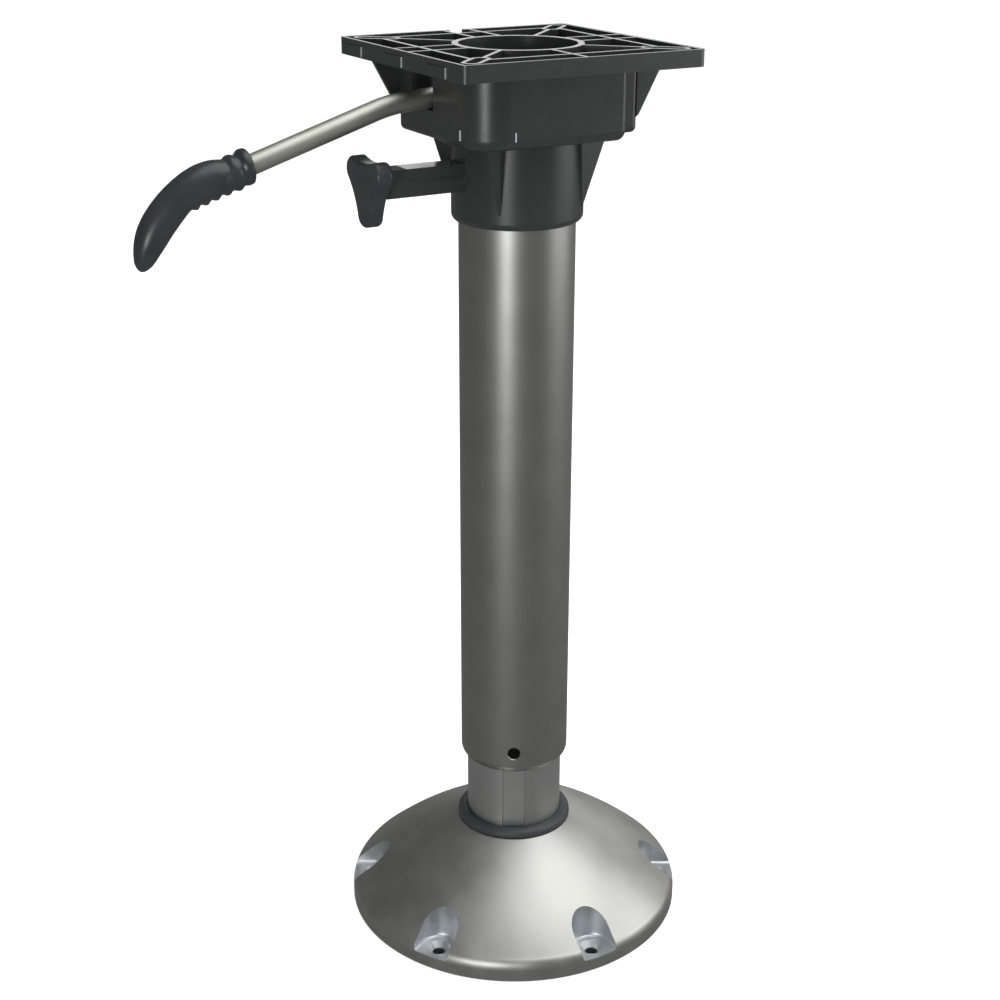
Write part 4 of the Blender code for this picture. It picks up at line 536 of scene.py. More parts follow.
def grain_effect() -> bpy.types.NodeTree:
    """Fine moulded or cast grain: two octaves of noise as a height, and a slow mottle from 0 to 1."""
    board, given, out = effect(
        "surface_grain",
        {"Grain Size": 0.0006, "Mottle Size": 0.02, "Mottle Contrast": 0.5},
        ("Height", "Mottle"),
    )
    place = board.add("ShaderNodeTexCoord").outputs["Object"]
    look = {"Detail": 3.0, "Roughness": 0.6}
    board.join(board.noise(place, given.outputs["Grain Size"], **look), out.inputs["Height"])
    slow = board.noise(place, given.outputs["Mottle Size"], **look)
    contrast = board.add("ShaderNodeMapRange", interpolation_type="SMOOTHSTEP")
    for label, operation in (("From Min", "SUBTRACT"), ("From Max", "ADD")):
        limit = board.add("ShaderNodeMath", operation=operation)
        limit.inputs[0].default_value = 0.5
        board.join(given.outputs["Mottle Contrast"], limit.inputs[1])
        board.join(limit.outputs[0], contrast.inputs[label])
    board.join(slow, contrast.inputs["Value"])
    board.join(contrast.outputs["Result"], out.inputs["Mottle"])
    return board.tree


def lines_effect() -> bpy.types.NodeTree:
    """Drawn or brushed lines: noise on coordinates that are squeezed along one direction."""
    board, given, out = effect(
        "drawn_lines",
        {"Squeeze": (1.0, 1.0, 0.01), "Line Size": 0.0004},
        ("Lines",),
    )
    place = board.add("ShaderNodeTexCoord")
    squeeze = board.add("ShaderNodeVectorMath", operation="MULTIPLY")
    board.join(place.outputs["Object"], squeeze.inputs[0])
    board.join(given.outputs["Squeeze"], squeeze.inputs[1])
    noise = board.noise(squeeze.outputs["Vector"], given.outputs["Line Size"], Detail=4.0, Roughness=0.65)
    board.join(noise, out.inputs["Lines"])
    return board.tree


@dataclass(frozen=True)
class Finish:
    """What every finish has."""

    name: str
    colour: tuple[float, float, float]
    roughness: float

    def start(self, metallic: float = 0.0) -> tuple[bpy.types.Material, Board, bpy.types.Node]:
        """Makes the material.

        Args:
            metallic: the shader's Metallic value.

        Returns:
            The material, its board and its Principled shader.
        """
        material = bpy.data.materials.new(self.name)
        material.use_nodes = True
        shader = material.node_tree.nodes["Principled BSDF"]
        shader.inputs["Base Color"].default_value = (*self.colour, 1.0)
        shader.inputs["Roughness"].default_value = self.roughness
        shader.inputs["Metallic"].default_value = metallic
        return material, Board(material.node_tree), shader

    def tinted(self, board: Board, shader: bpy.types.Node, mask: bpy.types.NodeSocket, gain: float) -> None:
        """Shifts the base colour by a mask.

        Args:
            board: the material's board.
            shader: its Principled shader.
            mask: 0 to 1.
            gain: the colour at mask 1 as a share of the finish's colour. Mask 0 gives 2 - gain.
        """
        low, high = ([min(c * share, 1.0) for c in self.colour] for share in (2 - gain, gain))
        board.join(board.blended(mask, low, high), shader.inputs["Base Color"])

    def roughened(self, board: Board, shader: bpy.types.Node, mask: bpy.types.NodeSocket) -> None:
        """Lets a mask from 0 to 1 move the roughness by the finish's swing to each side."""
        rough = board.spread(mask, self.roughness - self.swing, self.roughness + self.swing)
        board.join(rough, shader.inputs["Roughness"])

    def bumped(self, board: Board, shader: bpy.types.Node, height: bpy.types.NodeSocket) -> None:
        """Feeds a height through a Bump node, as deep and strong as the finish says, into the normal."""
        bump = board.add("ShaderNodeBump", Strength=self.strength, Distance=self.depth)
        board.join(height, bump.inputs["Height"])
        board.join(bump.outputs["Normal"], shader.inputs["Normal"])

    def build(self, effects: Effects) -> bpy.types.Material:
        """Makes the material. Each finish has its own."""
        raise NotImplementedError


@dataclass
class Effects:
    """The node groups that finishes share."""

    grain: bpy.types.NodeTree = field(default_factory=grain_effect)
    lines: bpy.types.NodeTree = field(default_factory=lines_effect)

    def mottle(self, board: Board, grain: float, size: float, contrast: float) -> bpy.types.Node:
        """Puts the grain group in a material, with its grain size, mottle size and mottle contrast."""
        inputs = {"Grain_Size": grain, "Mottle_Size": size, "Mottle_Contrast": contrast}
        return board.add("ShaderNodeGroup", node_tree=self.grain, **inputs)


@dataclass(frozen=True)
class Moulding(Finish):
    """Black moulded plastic with a fine spark-eroded grain."""

    grain_size: float = 0.55 * MM
    depth: float = 0.05 * MM
    strength: float = 0.35
    mottle: float = 1.12
    specular: float = 0.5
    mottle_size: float = 14 * MM
    contrast: float = 0.18
    swing: float = 0.012

    def build(self, effects: Effects) -> bpy.types.Material:
        """Grain as bump, and a slow mottle in colour and roughness."""
        material, board, shader = self.start()
        grain = effects.mottle(board, self.grain_size, self.mottle_size, self.contrast)
        self.tinted(board, shader, grain.outputs["Mottle"], self.mottle)
        self.roughened(board, shader, grain.outputs["Mottle"])
        self.bumped(board, shader, grain.outputs["Height"])
        shader.inputs["Specular IOR Level"].default_value = self.specular
        return material


@dataclass(frozen=True)
class PaintedTopHighlight(Moulding):
    """Moulding for upward faces, lighter and glossier than the rest: a painted highlight for the light the
    tops catch. It is less glossy on the rounded edge round the plate.
    """

    highlight_half: float = 79.2 * MM
    outer_roughness: float = 0.55
    outer_specular: float = 0.3

    def build(self, effects: Effects) -> bpy.types.Material:
        """The moulding's look, with a rougher band outside a square about the axis."""
        material = super().build(effects)
        board, shader = Board(material.node_tree), material.node_tree.nodes["Principled BSDF"]
        place = board.add("ShaderNodeTexCoord")
        split = board.add("ShaderNodeSeparateXYZ")
        board.join(place.outputs["Object"], split.inputs[0])
        far = board.add("ShaderNodeMath", operation="MAXIMUM")
        for axis in (0, 1):
            size = board.add("ShaderNodeMath", operation="ABSOLUTE")
            board.join(split.outputs[axis], size.inputs[0])
            board.join(size.outputs[0], far.inputs[axis])
        outside = board.add("ShaderNodeMath", operation="GREATER_THAN")
        outside.inputs[1].default_value = self.highlight_half
        board.join(far.outputs[0], outside.inputs[0])
        rough = board.spread(outside.outputs[0], self.roughness, self.outer_roughness)
        board.join(rough, shader.inputs["Roughness"])
        specular = board.spread(outside.outputs[0], self.specular, self.outer_specular)
        board.join(specular, shader.inputs["Specular IOR Level"])
        return material


@dataclass(frozen=True)
class DrawnMetal(Finish):
    """Metal with fine lines along one direction, satin anodised or plated."""

    squeeze: tuple[float, float, float] = (1.0, 1.0, 0.01)
    line_size: float = 0.5 * MM
    depth: float = 0.01 * MM
    strength: float = 0.15
    metallic: float = 1.0
    mottle: float = 1.04
    mottle_size: float = 25 * MM
    contrast: float = 0.2
    swing: float = 0.06

    def build(self, effects: Effects) -> bpy.types.Material:
        """Lines as bump and roughness, and a slow mottle in colour."""
        material, board, shader = self.start(self.metallic)
        lines = board.add(
            "ShaderNodeGroup", node_tree=effects.lines, Squeeze=self.squeeze, Line_Size=self.line_size
        )
        grain = effects.mottle(board, self.line_size, self.mottle_size, self.contrast)
        self.tinted(board, shader, grain.outputs["Mottle"], self.mottle)
        self.roughened(board, shader, lines.outputs["Lines"])
        self.bumped(board, shader, lines.outputs["Lines"])
        return material


@dataclass(frozen=True)
class CastMetal(Finish):
    """Cast aluminium, buffed to a soft satin."""

    depth: float = 0.03 * MM
    strength: float = 0.25
    mottle: float = 1.05
    grain_size: float = 0.9 * MM
    mottle_size: float = 22 * MM
    contrast: float = 0.22

    def build(self, effects: Effects) -> bpy.types.Material:
        """Fine cast grain as bump, and a slow mottle in colour and roughness."""
        material, board, shader = self.start(1.0)
        grain = effects.mottle(board, self.grain_size, self.mottle_size, self.contrast)
        self.tinted(board, shader, grain.outputs["Mottle"], self.mottle)
        rough = board.spread(grain.outputs["Mottle"], self.roughness - 0.03, self.roughness + 0.04)
        board.join(rough, shader.inputs["Roughness"])
        self.bumped(board, shader, grain.outputs["Height"])
        return material


@dataclass(frozen=True)
class StudioWhite(Finish):
    """Floor that the camera sees as white, that metal sees as pale grey, and that takes a soft shadow."""

    seen: float = 0.62
    mirrored: float = 0.125
    mirrored_colour: float = 0.04

    def build(self, effects: Effects) -> bpy.types.Material:
        """A plain matt surface. Its glow and its colour depend on the kind of ray."""
        material, board, shader = self.start()
        mottle = effects.mottle(board, 4 * MM, 300 * MM, 0.3).outputs["Mottle"]
        self.tinted(board, shader, mottle, 1.005)
        tint = shader.inputs["Base Color"].links[0].from_socket
        colour = board.blended(board.by_ray(0.0, 1.0, 0.0), tint, [self.mirrored_colour] * 3)
        board.join(colour, shader.inputs["Base Color"])
        shader.inputs["Specular IOR Level"].default_value = 0.0
        shader.inputs["Emission Color"].default_value = (1.0, 1.0, 1.0, 1.0)
        board.join(board.by_ray(self.seen, self.mirrored, 0.0), shader.inputs["Emission Strength"])
        return material


BLACK_MOULDING = Moulding("black_moulding", (0.029, 0.031, 0.030), 0.32, 0.7 * MM, 0.07 * MM, 0.65, 1.04)
# Upward tops: a lighter, glossier moulding as a painted highlight for the light they catch
TOP_HIGHLIGHT = PaintedTopHighlight("rubbed_rib_top", (0.05, 0.05, 0.05), 0.20, 0.7 * MM, 0.01 * MM, 0.1, specular=0.9)
# Light grey: a painted glint on small edges that catch the light
EDGE_GLINT = Moulding("scuffed_edge", (0.50, 0.51, 0.53), 0.5)
# Near black: painted shade for holes and for the floor under the base
PAINTED_SHADE = Moulding("dark_recess", (0.004, 0.004, 0.004), 0.8, specular=0.1)
RING_MOULDING = Moulding("ring_moulding", (0.036, 0.041, 0.045), 0.48, 0.5 * MM, 0.02 * MM, 0.2)
BLACK_KNOB = Moulding("black_knob", (0.031, 0.034, 0.035), 0.34, 0.45 * MM)
BLACK_GRIP = Moulding("black_grip", (0.028, 0.031, 0.032), 0.34, 0.4 * MM, 0.03 * MM, 0.25)
GREY_NYLON = Moulding("grey_nylon", (0.30, 0.30, 0.29), 0.5, 0.5 * MM, 0.02 * MM, 0.2, 1.03)
DARK_NYLON = Moulding("dark_nylon", (0.055, 0.055, 0.055), 0.48, 0.5 * MM, 0.02 * MM, 0.2, 1.03)
TUBE_SATIN = DrawnMetal("tube_satin", (0.465, 0.47, 0.45), 0.39, depth=0.005 * MM, strength=0.08)
INNER_SATIN = DrawnMetal("inner_tube_satin", (0.63, 0.64, 0.63), 0.42, depth=0.005 * MM, strength=0.08)
LEVER_SATIN = DrawnMetal("lever_satin", (0.56, 0.57, 0.51), 0.50, (0.02, 1.0, 1.0), 0.4 * MM)
ZINC_STEEL = DrawnMetal("zinc_steel", (0.66, 0.66, 0.68), 0.28, (1.0, 1.0, 0.2), 0.6 * MM)
BRIGHT_ROD = DrawnMetal("bright_rod", (0.80, 0.80, 0.82), 0.12, (1.0, 1.0, 0.5), 0.4 * MM, 0.004 * MM)
BLACK_STEEL = DrawnMetal("black_steel", (0.05, 0.05, 0.055), 0.35, (1.0, 1.0, 0.3), 0.5 * MM, metallic=0.6)
BRASS = DrawnMetal("turned_brass", (0.74, 0.57, 0.28), 0.26, (0.2, 1.0, 1.0), 0.4 * MM)
CAST_SATIN = CastMetal("cast_satin", (0.56, 0.56, 0.535), 0.46, 0.05 * MM, 0.5)
# Lighter cast colour for the pockets; on their rounded rims it is a painted highlight
CAST_LIGHTER_POCKETS = CastMetal("cast_raw", (0.70, 0.73, 0.75), 0.43, 0.05 * MM, 0.5)
FLOOR_WHITE = StudioWhite("studio_white", (0.82, 0.82, 0.82), 0.8)


# Sub-assemblies


@dataclass
class SubAssembly:
    """A group of pieces that ride on one body of the frame."""

    frame: dict
    effects: Effects
    materials: dict[str, bpy.types.Material]

    def build(self) -> None:
        """Makes and dresses the pieces. Each sub-assembly has its own."""
        raise NotImplementedError

    def finish(self, look: Finish) -> bpy.types.Material:
        """The material of a finish, made once."""
        if look.name not in self.materials:
            self.materials[look.name] = look.build(self.effects)
        return self.materials[look.name]

    def dress(self, thing: bpy.types.Object, look: Finish, body: str, *nodes: str) -> bpy.types.Object:
        """Gives a finished piece its material, its body and the CAD nodes it stands for.

        Args:
            thing: the piece, at the origin.
            look: its finish.
            body: the frame's body that it rides on.
            nodes: the CAD nodes it replaces.

        Returns:
            The piece.
        """
        thing.data.materials.clear()
        thing.data.materials.append(self.finish(look))
        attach(thing, body)
        if nodes:
            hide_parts(*nodes)
        LOG.info("%s: %d faces", thing.name, len(thing.data.polygons))
        return thing

    def second_look(self, thing: bpy.types.Object, look: Finish, faces: Array) -> None:
        """Gives the marked faces of a dressed piece another finish.

        Args:
            thing: the piece.
            look: the other finish.
            faces: true for each face that has it.
        """
        thing.data.materials.append(self.finish(look))
        thing.data.polygons.foreach_set("material_index", faces.astype(np.int32))

    def repaint(self, look: Finish, *nodes: str) -> None:
        """Gives CAD nodes that keep their shape a better material."""
        for name in nodes:
            node = self.frame["nodes"][name]
            node.data.materials.clear()
            node.data.materials.append(self.finish(look))
            weld = node.modifiers.new("weld", "WELD")
            weld.merge_threshold = 1e-6
            LOG.info("%s: repainted", name)


@dataclass
class Base(SubAssembly):
    """Cast base and the trim ring on its hub."""

    radius: float = 114.3 * MM
    rim_height: float = 7.9 * MM
    shoulder_radius: float = 9.3 * MM
    hub_top: float = 61.7 * MM
    hub_radius: float = 39.3 * MM
    hub_edge: float = 1.0 * MM
    bulge: float = 3.2 * MM
    wall: float = 4.5 * MM
    foot_width: float = 7.0 * MM
    hub_wall: float = 5.0 * MM
    socket: float = 32.55 * MM
    web_top: float = 9.0 * MM
    rib_thickness: float = 4.0 * MM
    rib_heel: float = 2.0 * MM
    turn: float = math.radians(1.0)
    screw_count: int = 6
    screw_circle: float = 102.3 * MM
    hole_radius: float = 4.2 * MM
    countersink_radius: float = 7.8 * MM
    countersink_depth: float = 3.6 * MM
    pocket_radius: float = 13.0 * MM
    pocket_floor: float = 9.3 * MM
    pocket_fillet: float = 2.2 * MM
    pocket_draft: float = 1.4 * MM
    pocket_wall: float = 3.5 * MM
    rim_highlight_depth: float = 0.12 * MM
    web_screw_circle: float = 21.0 * MM
    web_screw_radius: float = 3.3 * MM
    web_head_radius: float = 5.6 * MM
    web_head_depth: float = 4.9 * MM
    ring_gap: float = 0.3 * MM
    ring_height: float = 5.6 * MM
    ring_edge: float = 1.6 * MM
    ring_crown: float = 1.8 * MM
    tongue_inner: float = 30.8 * MM
    tongue_outer: float = 34.0 * MM
    tongue_half: float = 7.2 * MM
    tongue_height: float = 4.4 * MM
    edge: float = 0.7 * MM
    segments: int = 192

    def dome(self, steps: int = 24) -> Array:
        """The outside from the floor to the hub.

        A vertical rim, an arc round the shoulder's centre up to the tangent that meets the hub's edge,
        then that tangent with a parabolic bulge 4 t (1 - t) across it.

        Args:
            steps: points along the slope.

        Returns:
            Rows of radius and height.
        """
        centre = np.array([self.radius - self.shoulder_radius, self.rim_height])
        top = np.array([self.hub_radius, self.hub_top])
        run = top - centre
        normal = math.atan2(run[1], run[0]) - math.acos(self.shoulder_radius / np.linalg.norm(run))
        angles = np.linspace(0, normal, 14)
        arc = centre + self.shoulder_radius * directions(angles)
        t = np.linspace(0, 1, steps)[1:, None]
        outward = np.array([math.cos(normal), math.sin(normal)])
        slope = arc[-1] + (top - arc[-1]) * t + outward * self.bulge * 4 * t * (1 - t)
        return np.concatenate([[[self.radius, self.edge]], arc, slope])

    def inside(self) -> Array:
        """The hollow's profile: the dome moved in by the wall, between the foot and the hub's wall."""
        outside = self.dome()
        along = unit(np.gradient(outside, axis=0))
        moved = outside + np.stack([-along[:, 1], along[:, 0]], axis=-1) * self.wall
        foot, hub = self.radius - self.foot_width, self.socket + self.hub_wall
        kept = moved[(moved[:, 0] < foot) & (moved[:, 0] > hub + self.wall)]
        corner = np.interp(foot, moved[::-1, 0], moved[::-1, 1])
        ends = np.array([[foot, -PAST], [foot, corner]]), np.array([[hub, kept[-1, 1]], [hub, -PAST]])
        return np.concatenate([ends[0], kept, ends[1]])

    def spokes(self) -> Array:
        """The angles of the screw pockets."""
        return self.turn - math.pi / 2 + np.arange(self.screw_count) * TAU / self.screw_count

    def ringed(self, name: str, grid: Array) -> bpy.types.Object:
        """Six copies of a solid, one at each pocket's angle."""
        return round_copies(name, grid, self.spokes())

    def pockets(self) -> bpy.types.Object:
        """Screw pockets: a U-shaped plan open at the rim, with a fillet at the floor and some draft.

        Over the fillet the outline grows by fillet (sin a - 1) while the height rises by
        fillet (1 - cos a), and above it the outline grows evenly with height.
        """
        angles = np.linspace(0, math.pi / 2, 6)
        grow = np.append(self.pocket_fillet * (np.sin(angles) - 1), self.pocket_draft)
        rise = np.append(self.pocket_fillet * (1 - np.cos(angles)), self.hub_top - self.pocket_floor)
        far = self.radius + 3 * self.pocket_radius
        outlines = [slot_outline(self.screw_circle, far, self.pocket_radius + g, 24) for g in grow]
        return self.ringed("base_pockets", lifted(outlines, self.pocket_floor + rise))

    def hollow(self) -> bpy.types.Object:
        """The space under the base, less the bosses under the pockets and the ribs."""
        ring = grid_object("base_hollow", revolved(self.inside(), self.segments), ring=True)
        boss_radius = self.pocket_radius + self.pocket_draft + self.pocket_wall
        outline = slot_outline(self.screw_circle, self.radius + 3 * boss_radius, boss_radius, 24)
        bosses = self.ringed("base_bosses", prism(outline, -2 * MM, self.hub_top))
        half, end = self.rib_thickness / 2, self.screw_circle - self.pocket_radius
        rib = box_grid((self.socket, -half, self.rib_heel), (end, half, self.hub_top + PAST))
        return shaped(ring, [(Cut.AWAY, bosses), (Cut.AWAY, self.ringed("base_ribs", rib))])

    def screw_holes(self) -> bpy.types.Object:
        """Countersunk holes through the pockets' floors."""
        seat = self.pocket_floor - self.countersink_depth
        hole, mouth = self.hole_radius, self.countersink_radius
        flare = mouth + (mouth - hole) * PAST / self.countersink_depth
        profile = np.array([[hole, -PAST], [hole, seat], [flare, self.pocket_floor + PAST]])
        return self.ringed("deck_holes", revolved(profile, 48) + [self.screw_circle, 0, 0])

    def casting(self) -> bpy.types.Object:
        """The cast base."""
        corners = np.array([[self.hub_radius, self.hub_top], [self.socket, self.hub_top]])
        outside = self.dome()[:-1]
        hub = softened(
            np.concatenate([outside[-1:], corners, [[self.socket, self.web_top]]]),
            np.array([0, self.hub_edge, self.hub_edge, 0]),
        )
        foot = np.array([[self.radius - self.edge, 0]])
        profile = np.concatenate([foot, outside, hub[1:]])
        blank = grid_object("base_body", revolved(profile, self.segments))
        cutters = self.hollow(), self.pockets(), self.screw_holes(), self.web_holes()
        shaped(blank, [(Cut.AWAY, cutter) for cutter in cutters])
        eased(blank, self.edge, 3)
        return blank

    def web_holes(self) -> bpy.types.Object:
        """Stepped holes in the web for the four screws that hold the tube's foot."""
        head, shank = self.web_head_radius, self.web_screw_radius
        step, top = self.web_head_depth, self.web_top + PAST
        grid = revolved(np.array([[head, -PAST], [head, step], [shank, step], [shank, top]]), 32)
        return round_copies("web_holes", grid + [self.web_screw_circle, 0, 0], quarters(4))

    def trim_ring(self) -> bpy.types.Object:
        """Black ring on the hub, with a tongue in each of the tube's channels.

        Its outside rises along a quarter ellipse from the edge to the top.
        """
        bottom, outer = self.hub_top + self.ring_gap, self.hub_radius - self.ring_gap
        top = bottom + self.ring_height
        corner = np.array([self.socket + self.ring_crown, bottom + self.ring_edge])
        slope = corner + ([outer, top] - corner) * directions(np.linspace(0, math.pi / 2, 14))
        low = [[self.socket, bottom], [outer - 0.5 * MM, bottom], [outer, bottom + 0.5 * MM]]
        profile = np.concatenate([low, slope, [[self.socket + 0.4 * MM, top], [self.socket, top - 0.4 * MM]]])
        ring = grid_object("trim_ring", revolved(profile, self.segments), ring=True)
        tongue = box_grid(
            (self.tongue_inner, -self.tongue_half, bottom),
            (self.tongue_outer, self.tongue_half, bottom + self.tongue_height),
        )
        shaped(ring, [(Cut.ON, round_copies("tongues", tongue, Column.key_angles))])
        smoothed(ring)
        return ring

    def in_pockets(self, casting: bpy.types.Object) -> Array:
        """Marks the faces of the pockets and their countersinks, which lie below the dome's surface, together
        with the bevel faces of the pockets' rims, where the lighter colour is a painted highlight.
        """
        x, y, z = face_vectors(casting, "center").T
        reach, dome = np.hypot(x, y), self.dome()
        depth = np.interp(reach, dome[::-1, 0], dome[::-1, 1]) - z
        step = TAU / self.screw_count
        turn = (np.arctan2(y, x) - self.spokes()[0] + step / 2) % step - step / 2
        out, across = reach * np.cos(turn) - self.screw_circle, reach * np.sin(turn)
        near = np.hypot(np.minimum(out, 0), across) < self.pocket_radius + self.pocket_draft + PAST
        sink = np.hypot(out, across) < self.countersink_radius + 0.5 * MM
        lowest = self.pocket_floor - np.where(sink, self.countersink_depth, 0.4 * MM)
        return near & (depth > self.rim_highlight_depth) & (z > lowest)

    def build(self) -> None:
        """Makes and dresses the base's pieces."""
        casting = self.dress(self.casting(), CAST_SATIN, "base", "base_casting")
        # The pockets take a lighter cast colour; on their rounded rims it is a painted highlight
        self.second_look(casting, CAST_LIGHTER_POCKETS, self.in_pockets(casting))
        self.dress(self.trim_ring(), RING_MOULDING, "base", "base_collar_ring")
        self.repaint(ZINC_STEEL, *(f"base_screw_{k}" for k in range(1, 5)), "rod_nut")
        self.repaint(ZINC_STEEL, "tube_foot_plug", "foot_plug_pin_1", "foot_plug_pin_2")
        self.repaint(GREY_NYLON, "upper_slide_bush")
        self.repaint(BRIGHT_ROD, "piston_rod")
        self.repaint(DARK_NYLON, "rod_piston")


@dataclass
class Column(SubAssembly):
    """The two tubes and what shows at their ends."""

    key_angles: tuple[float, float] = (math.radians(-120.0), math.radians(60.0))
    lower_radius: float = 32.25 * MM
    lower_bore: float = 28.65 * MM
    channel_half: float = 7.9 * MM
    channel_depth: float = 1.8 * MM
    channel_round: float = 0.6 * MM
    radius: float = 36.5 * MM
    bore: float = 34.0 * MM
    lip_bottom: float = 111.3 * MM
    lip_height: float = 6.6 * MM
    lip_radius: float = 32.55 * MM
    lip_turn: float = math.radians(62.0)
    peg_height: float = 127.0 * MM
    peg_radius: float = 4.25 * MM
    peg_flare: float = 0.55 * MM
    bush_gap: float = 0.3 * MM
    segments: int = 288

    def channelled(self, angles: Array) -> Array:
        """The lower tube's outer radius at each angle.

        Within a channel the surface is flat at the channel's floor, radius floor / cos(a), and elsewhere
        it is round. A smooth step as wide as the channel's edge radius joins the two.
        """
        radius = np.full_like(angles, self.lower_radius)
        floor = self.lower_radius - self.channel_depth
        for key in self.key_angles:
            off = (angles - key + math.pi) % TAU - math.pi
            across = np.abs(self.lower_radius * np.sin(off))
            inside = np.clip((self.channel_half - across) / self.channel_round, 0, 1) * (np.cos(off) > 0)
            blend = inside * inside * (3 - 2 * inside)
            flat = floor / np.maximum(np.cos(off), 0.3)
            radius = radius * (1 - blend) + flat * blend
        return radius

    def ring_angles(self) -> Array:
        """Angles round a tube: even steps, with extra ones at each side of each channel."""
        even = full_turn(self.segments)
        edge = math.asin(self.channel_half / self.lower_radius)
        step = np.linspace(-1.2, 0.2, 12) * self.channel_round / self.lower_radius
        close = [key + side * (edge + step) for key in self.key_angles for side in (1, -1)]
        return np.unique(np.round(np.concatenate([even, *close]) % TAU, 9))

    def lower_tube(self) -> bpy.types.Object:
        """Extruded tube with a channel down each side."""
        low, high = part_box("lower_tube")
        angles = self.ring_angles()
        outer = self.channelled(angles)
        inner = np.full_like(angles, self.lower_bore)
        edge = 0.3 * MM
        rows = [
            (inner, low[2]),
            (outer - edge, low[2]),
            (outer, low[2] + edge),
            (outer, high[2] - edge),
            (outer - edge, high[2]),
            (inner, high[2]),
        ]
        radius = np.stack([row[0] for row in rows])
        height = np.array([row[1] for row in rows])[:, None] + 0 * radius
        grid = np.stack([radius * np.cos(angles), radius * np.sin(angles), height], axis=-1)
        tube = grid_object("inner_tube", grid, ring=True)
        smoothed(tube, 30)
        return tube

    def peg_hole(self) -> bpy.types.Object:
        """Cutter for the hole over the front channel, with a small chamfer at the tube's surface."""
        start, end, mouth = self.bore - 2 * MM, self.radius + 2 * MM, self.peg_radius + self.peg_flare
        outline = [
            [self.peg_radius, start],
            [self.peg_radius, self.radius - self.peg_flare],
            [mouth, self.radius + 0.05 * MM],
            [mouth, end],
        ]
        hole = revolved(np.array(outline), 48)
        hole = np.stack([hole[..., 2], hole[..., 1], self.peg_height + hole[..., 0]], axis=-1)
        return grid_object("peg_hole", turned_about_z(hole, self.key_angles[0]))

    def upper_tube(self) -> bpy.types.Object:
        """Outer tube, rolled in at the bottom along an arc until it nearly meets the inner tube."""
        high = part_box("upper_tube")[1][2]
        edge = 0.4 * MM
        turn = np.linspace(self.lip_turn, 0, 18)
        reach = (1 - np.cos(turn)) / (1 - math.cos(self.lip_turn))
        drop = np.sin(turn) / math.sin(self.lip_turn)
        lip_radii = self.radius - (self.radius - self.lip_radius) * reach
        lip = np.stack([lip_radii, self.lip_bottom + self.lip_height * (1 - drop)], axis=-1)
        top = [[self.radius, high - edge], [self.radius - edge, high], [self.bore, high]]
        root, tip = self.lip_bottom + self.lip_height, self.lip_bottom + 0.5 * MM
        profile = np.concatenate([lip, top, [[self.bore, root], [self.lip_radius, tip]]])
        tube = grid_object("outer_tube", revolved(profile, self.segments), ring=True)
        shaped(tube, [(Cut.AWAY, self.peg_hole())])
        smoothed(tube, 40)
        return tube

    def guide_bush(self) -> bpy.types.Object:
        """Sleeve between the tubes, behind the outer tube's peg hole."""
        inner, outer = self.lower_radius + self.bush_gap, self.bore - self.bush_gap
        low, high = self.lip_bottom + self.lip_height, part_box("lower_guide_bush")[1][2]
        profile = np.array([[inner, low], [outer, low], [outer, high], [inner, high]])
        return grid_object("guide_bush", revolved(profile, self.segments), ring=True)

    def build(self) -> None:
        """Makes and dresses the column's pieces."""
        self.dress(self.lower_tube(), INNER_SATIN, "base", "lower_tube")
        self.dress(self.upper_tube(), TUBE_SATIN, "column", "upper_tube")
        # The sleeve is near black as painted shade, so that the peg hole looks into shadow
        self.dress(self.guide_bush(), PAINTED_SHADE, "column", "lower_guide_bush")
        self.repaint(DARK_NYLON, "cylinder_gland")
        self.repaint(TUBE_SATIN, "tube_top_plug")
        self.repaint(ZINC_STEEL, "top_plug_pin_1", "top_plug_pin_2", "retaining_washer", "neck_nut")
        self.repaint(BLACK_STEEL, "gas_cylinder")
        self.repaint(GREY_NYLON, "thrust_washer")
        self.repaint(BRIGHT_ROD, "release_pin")


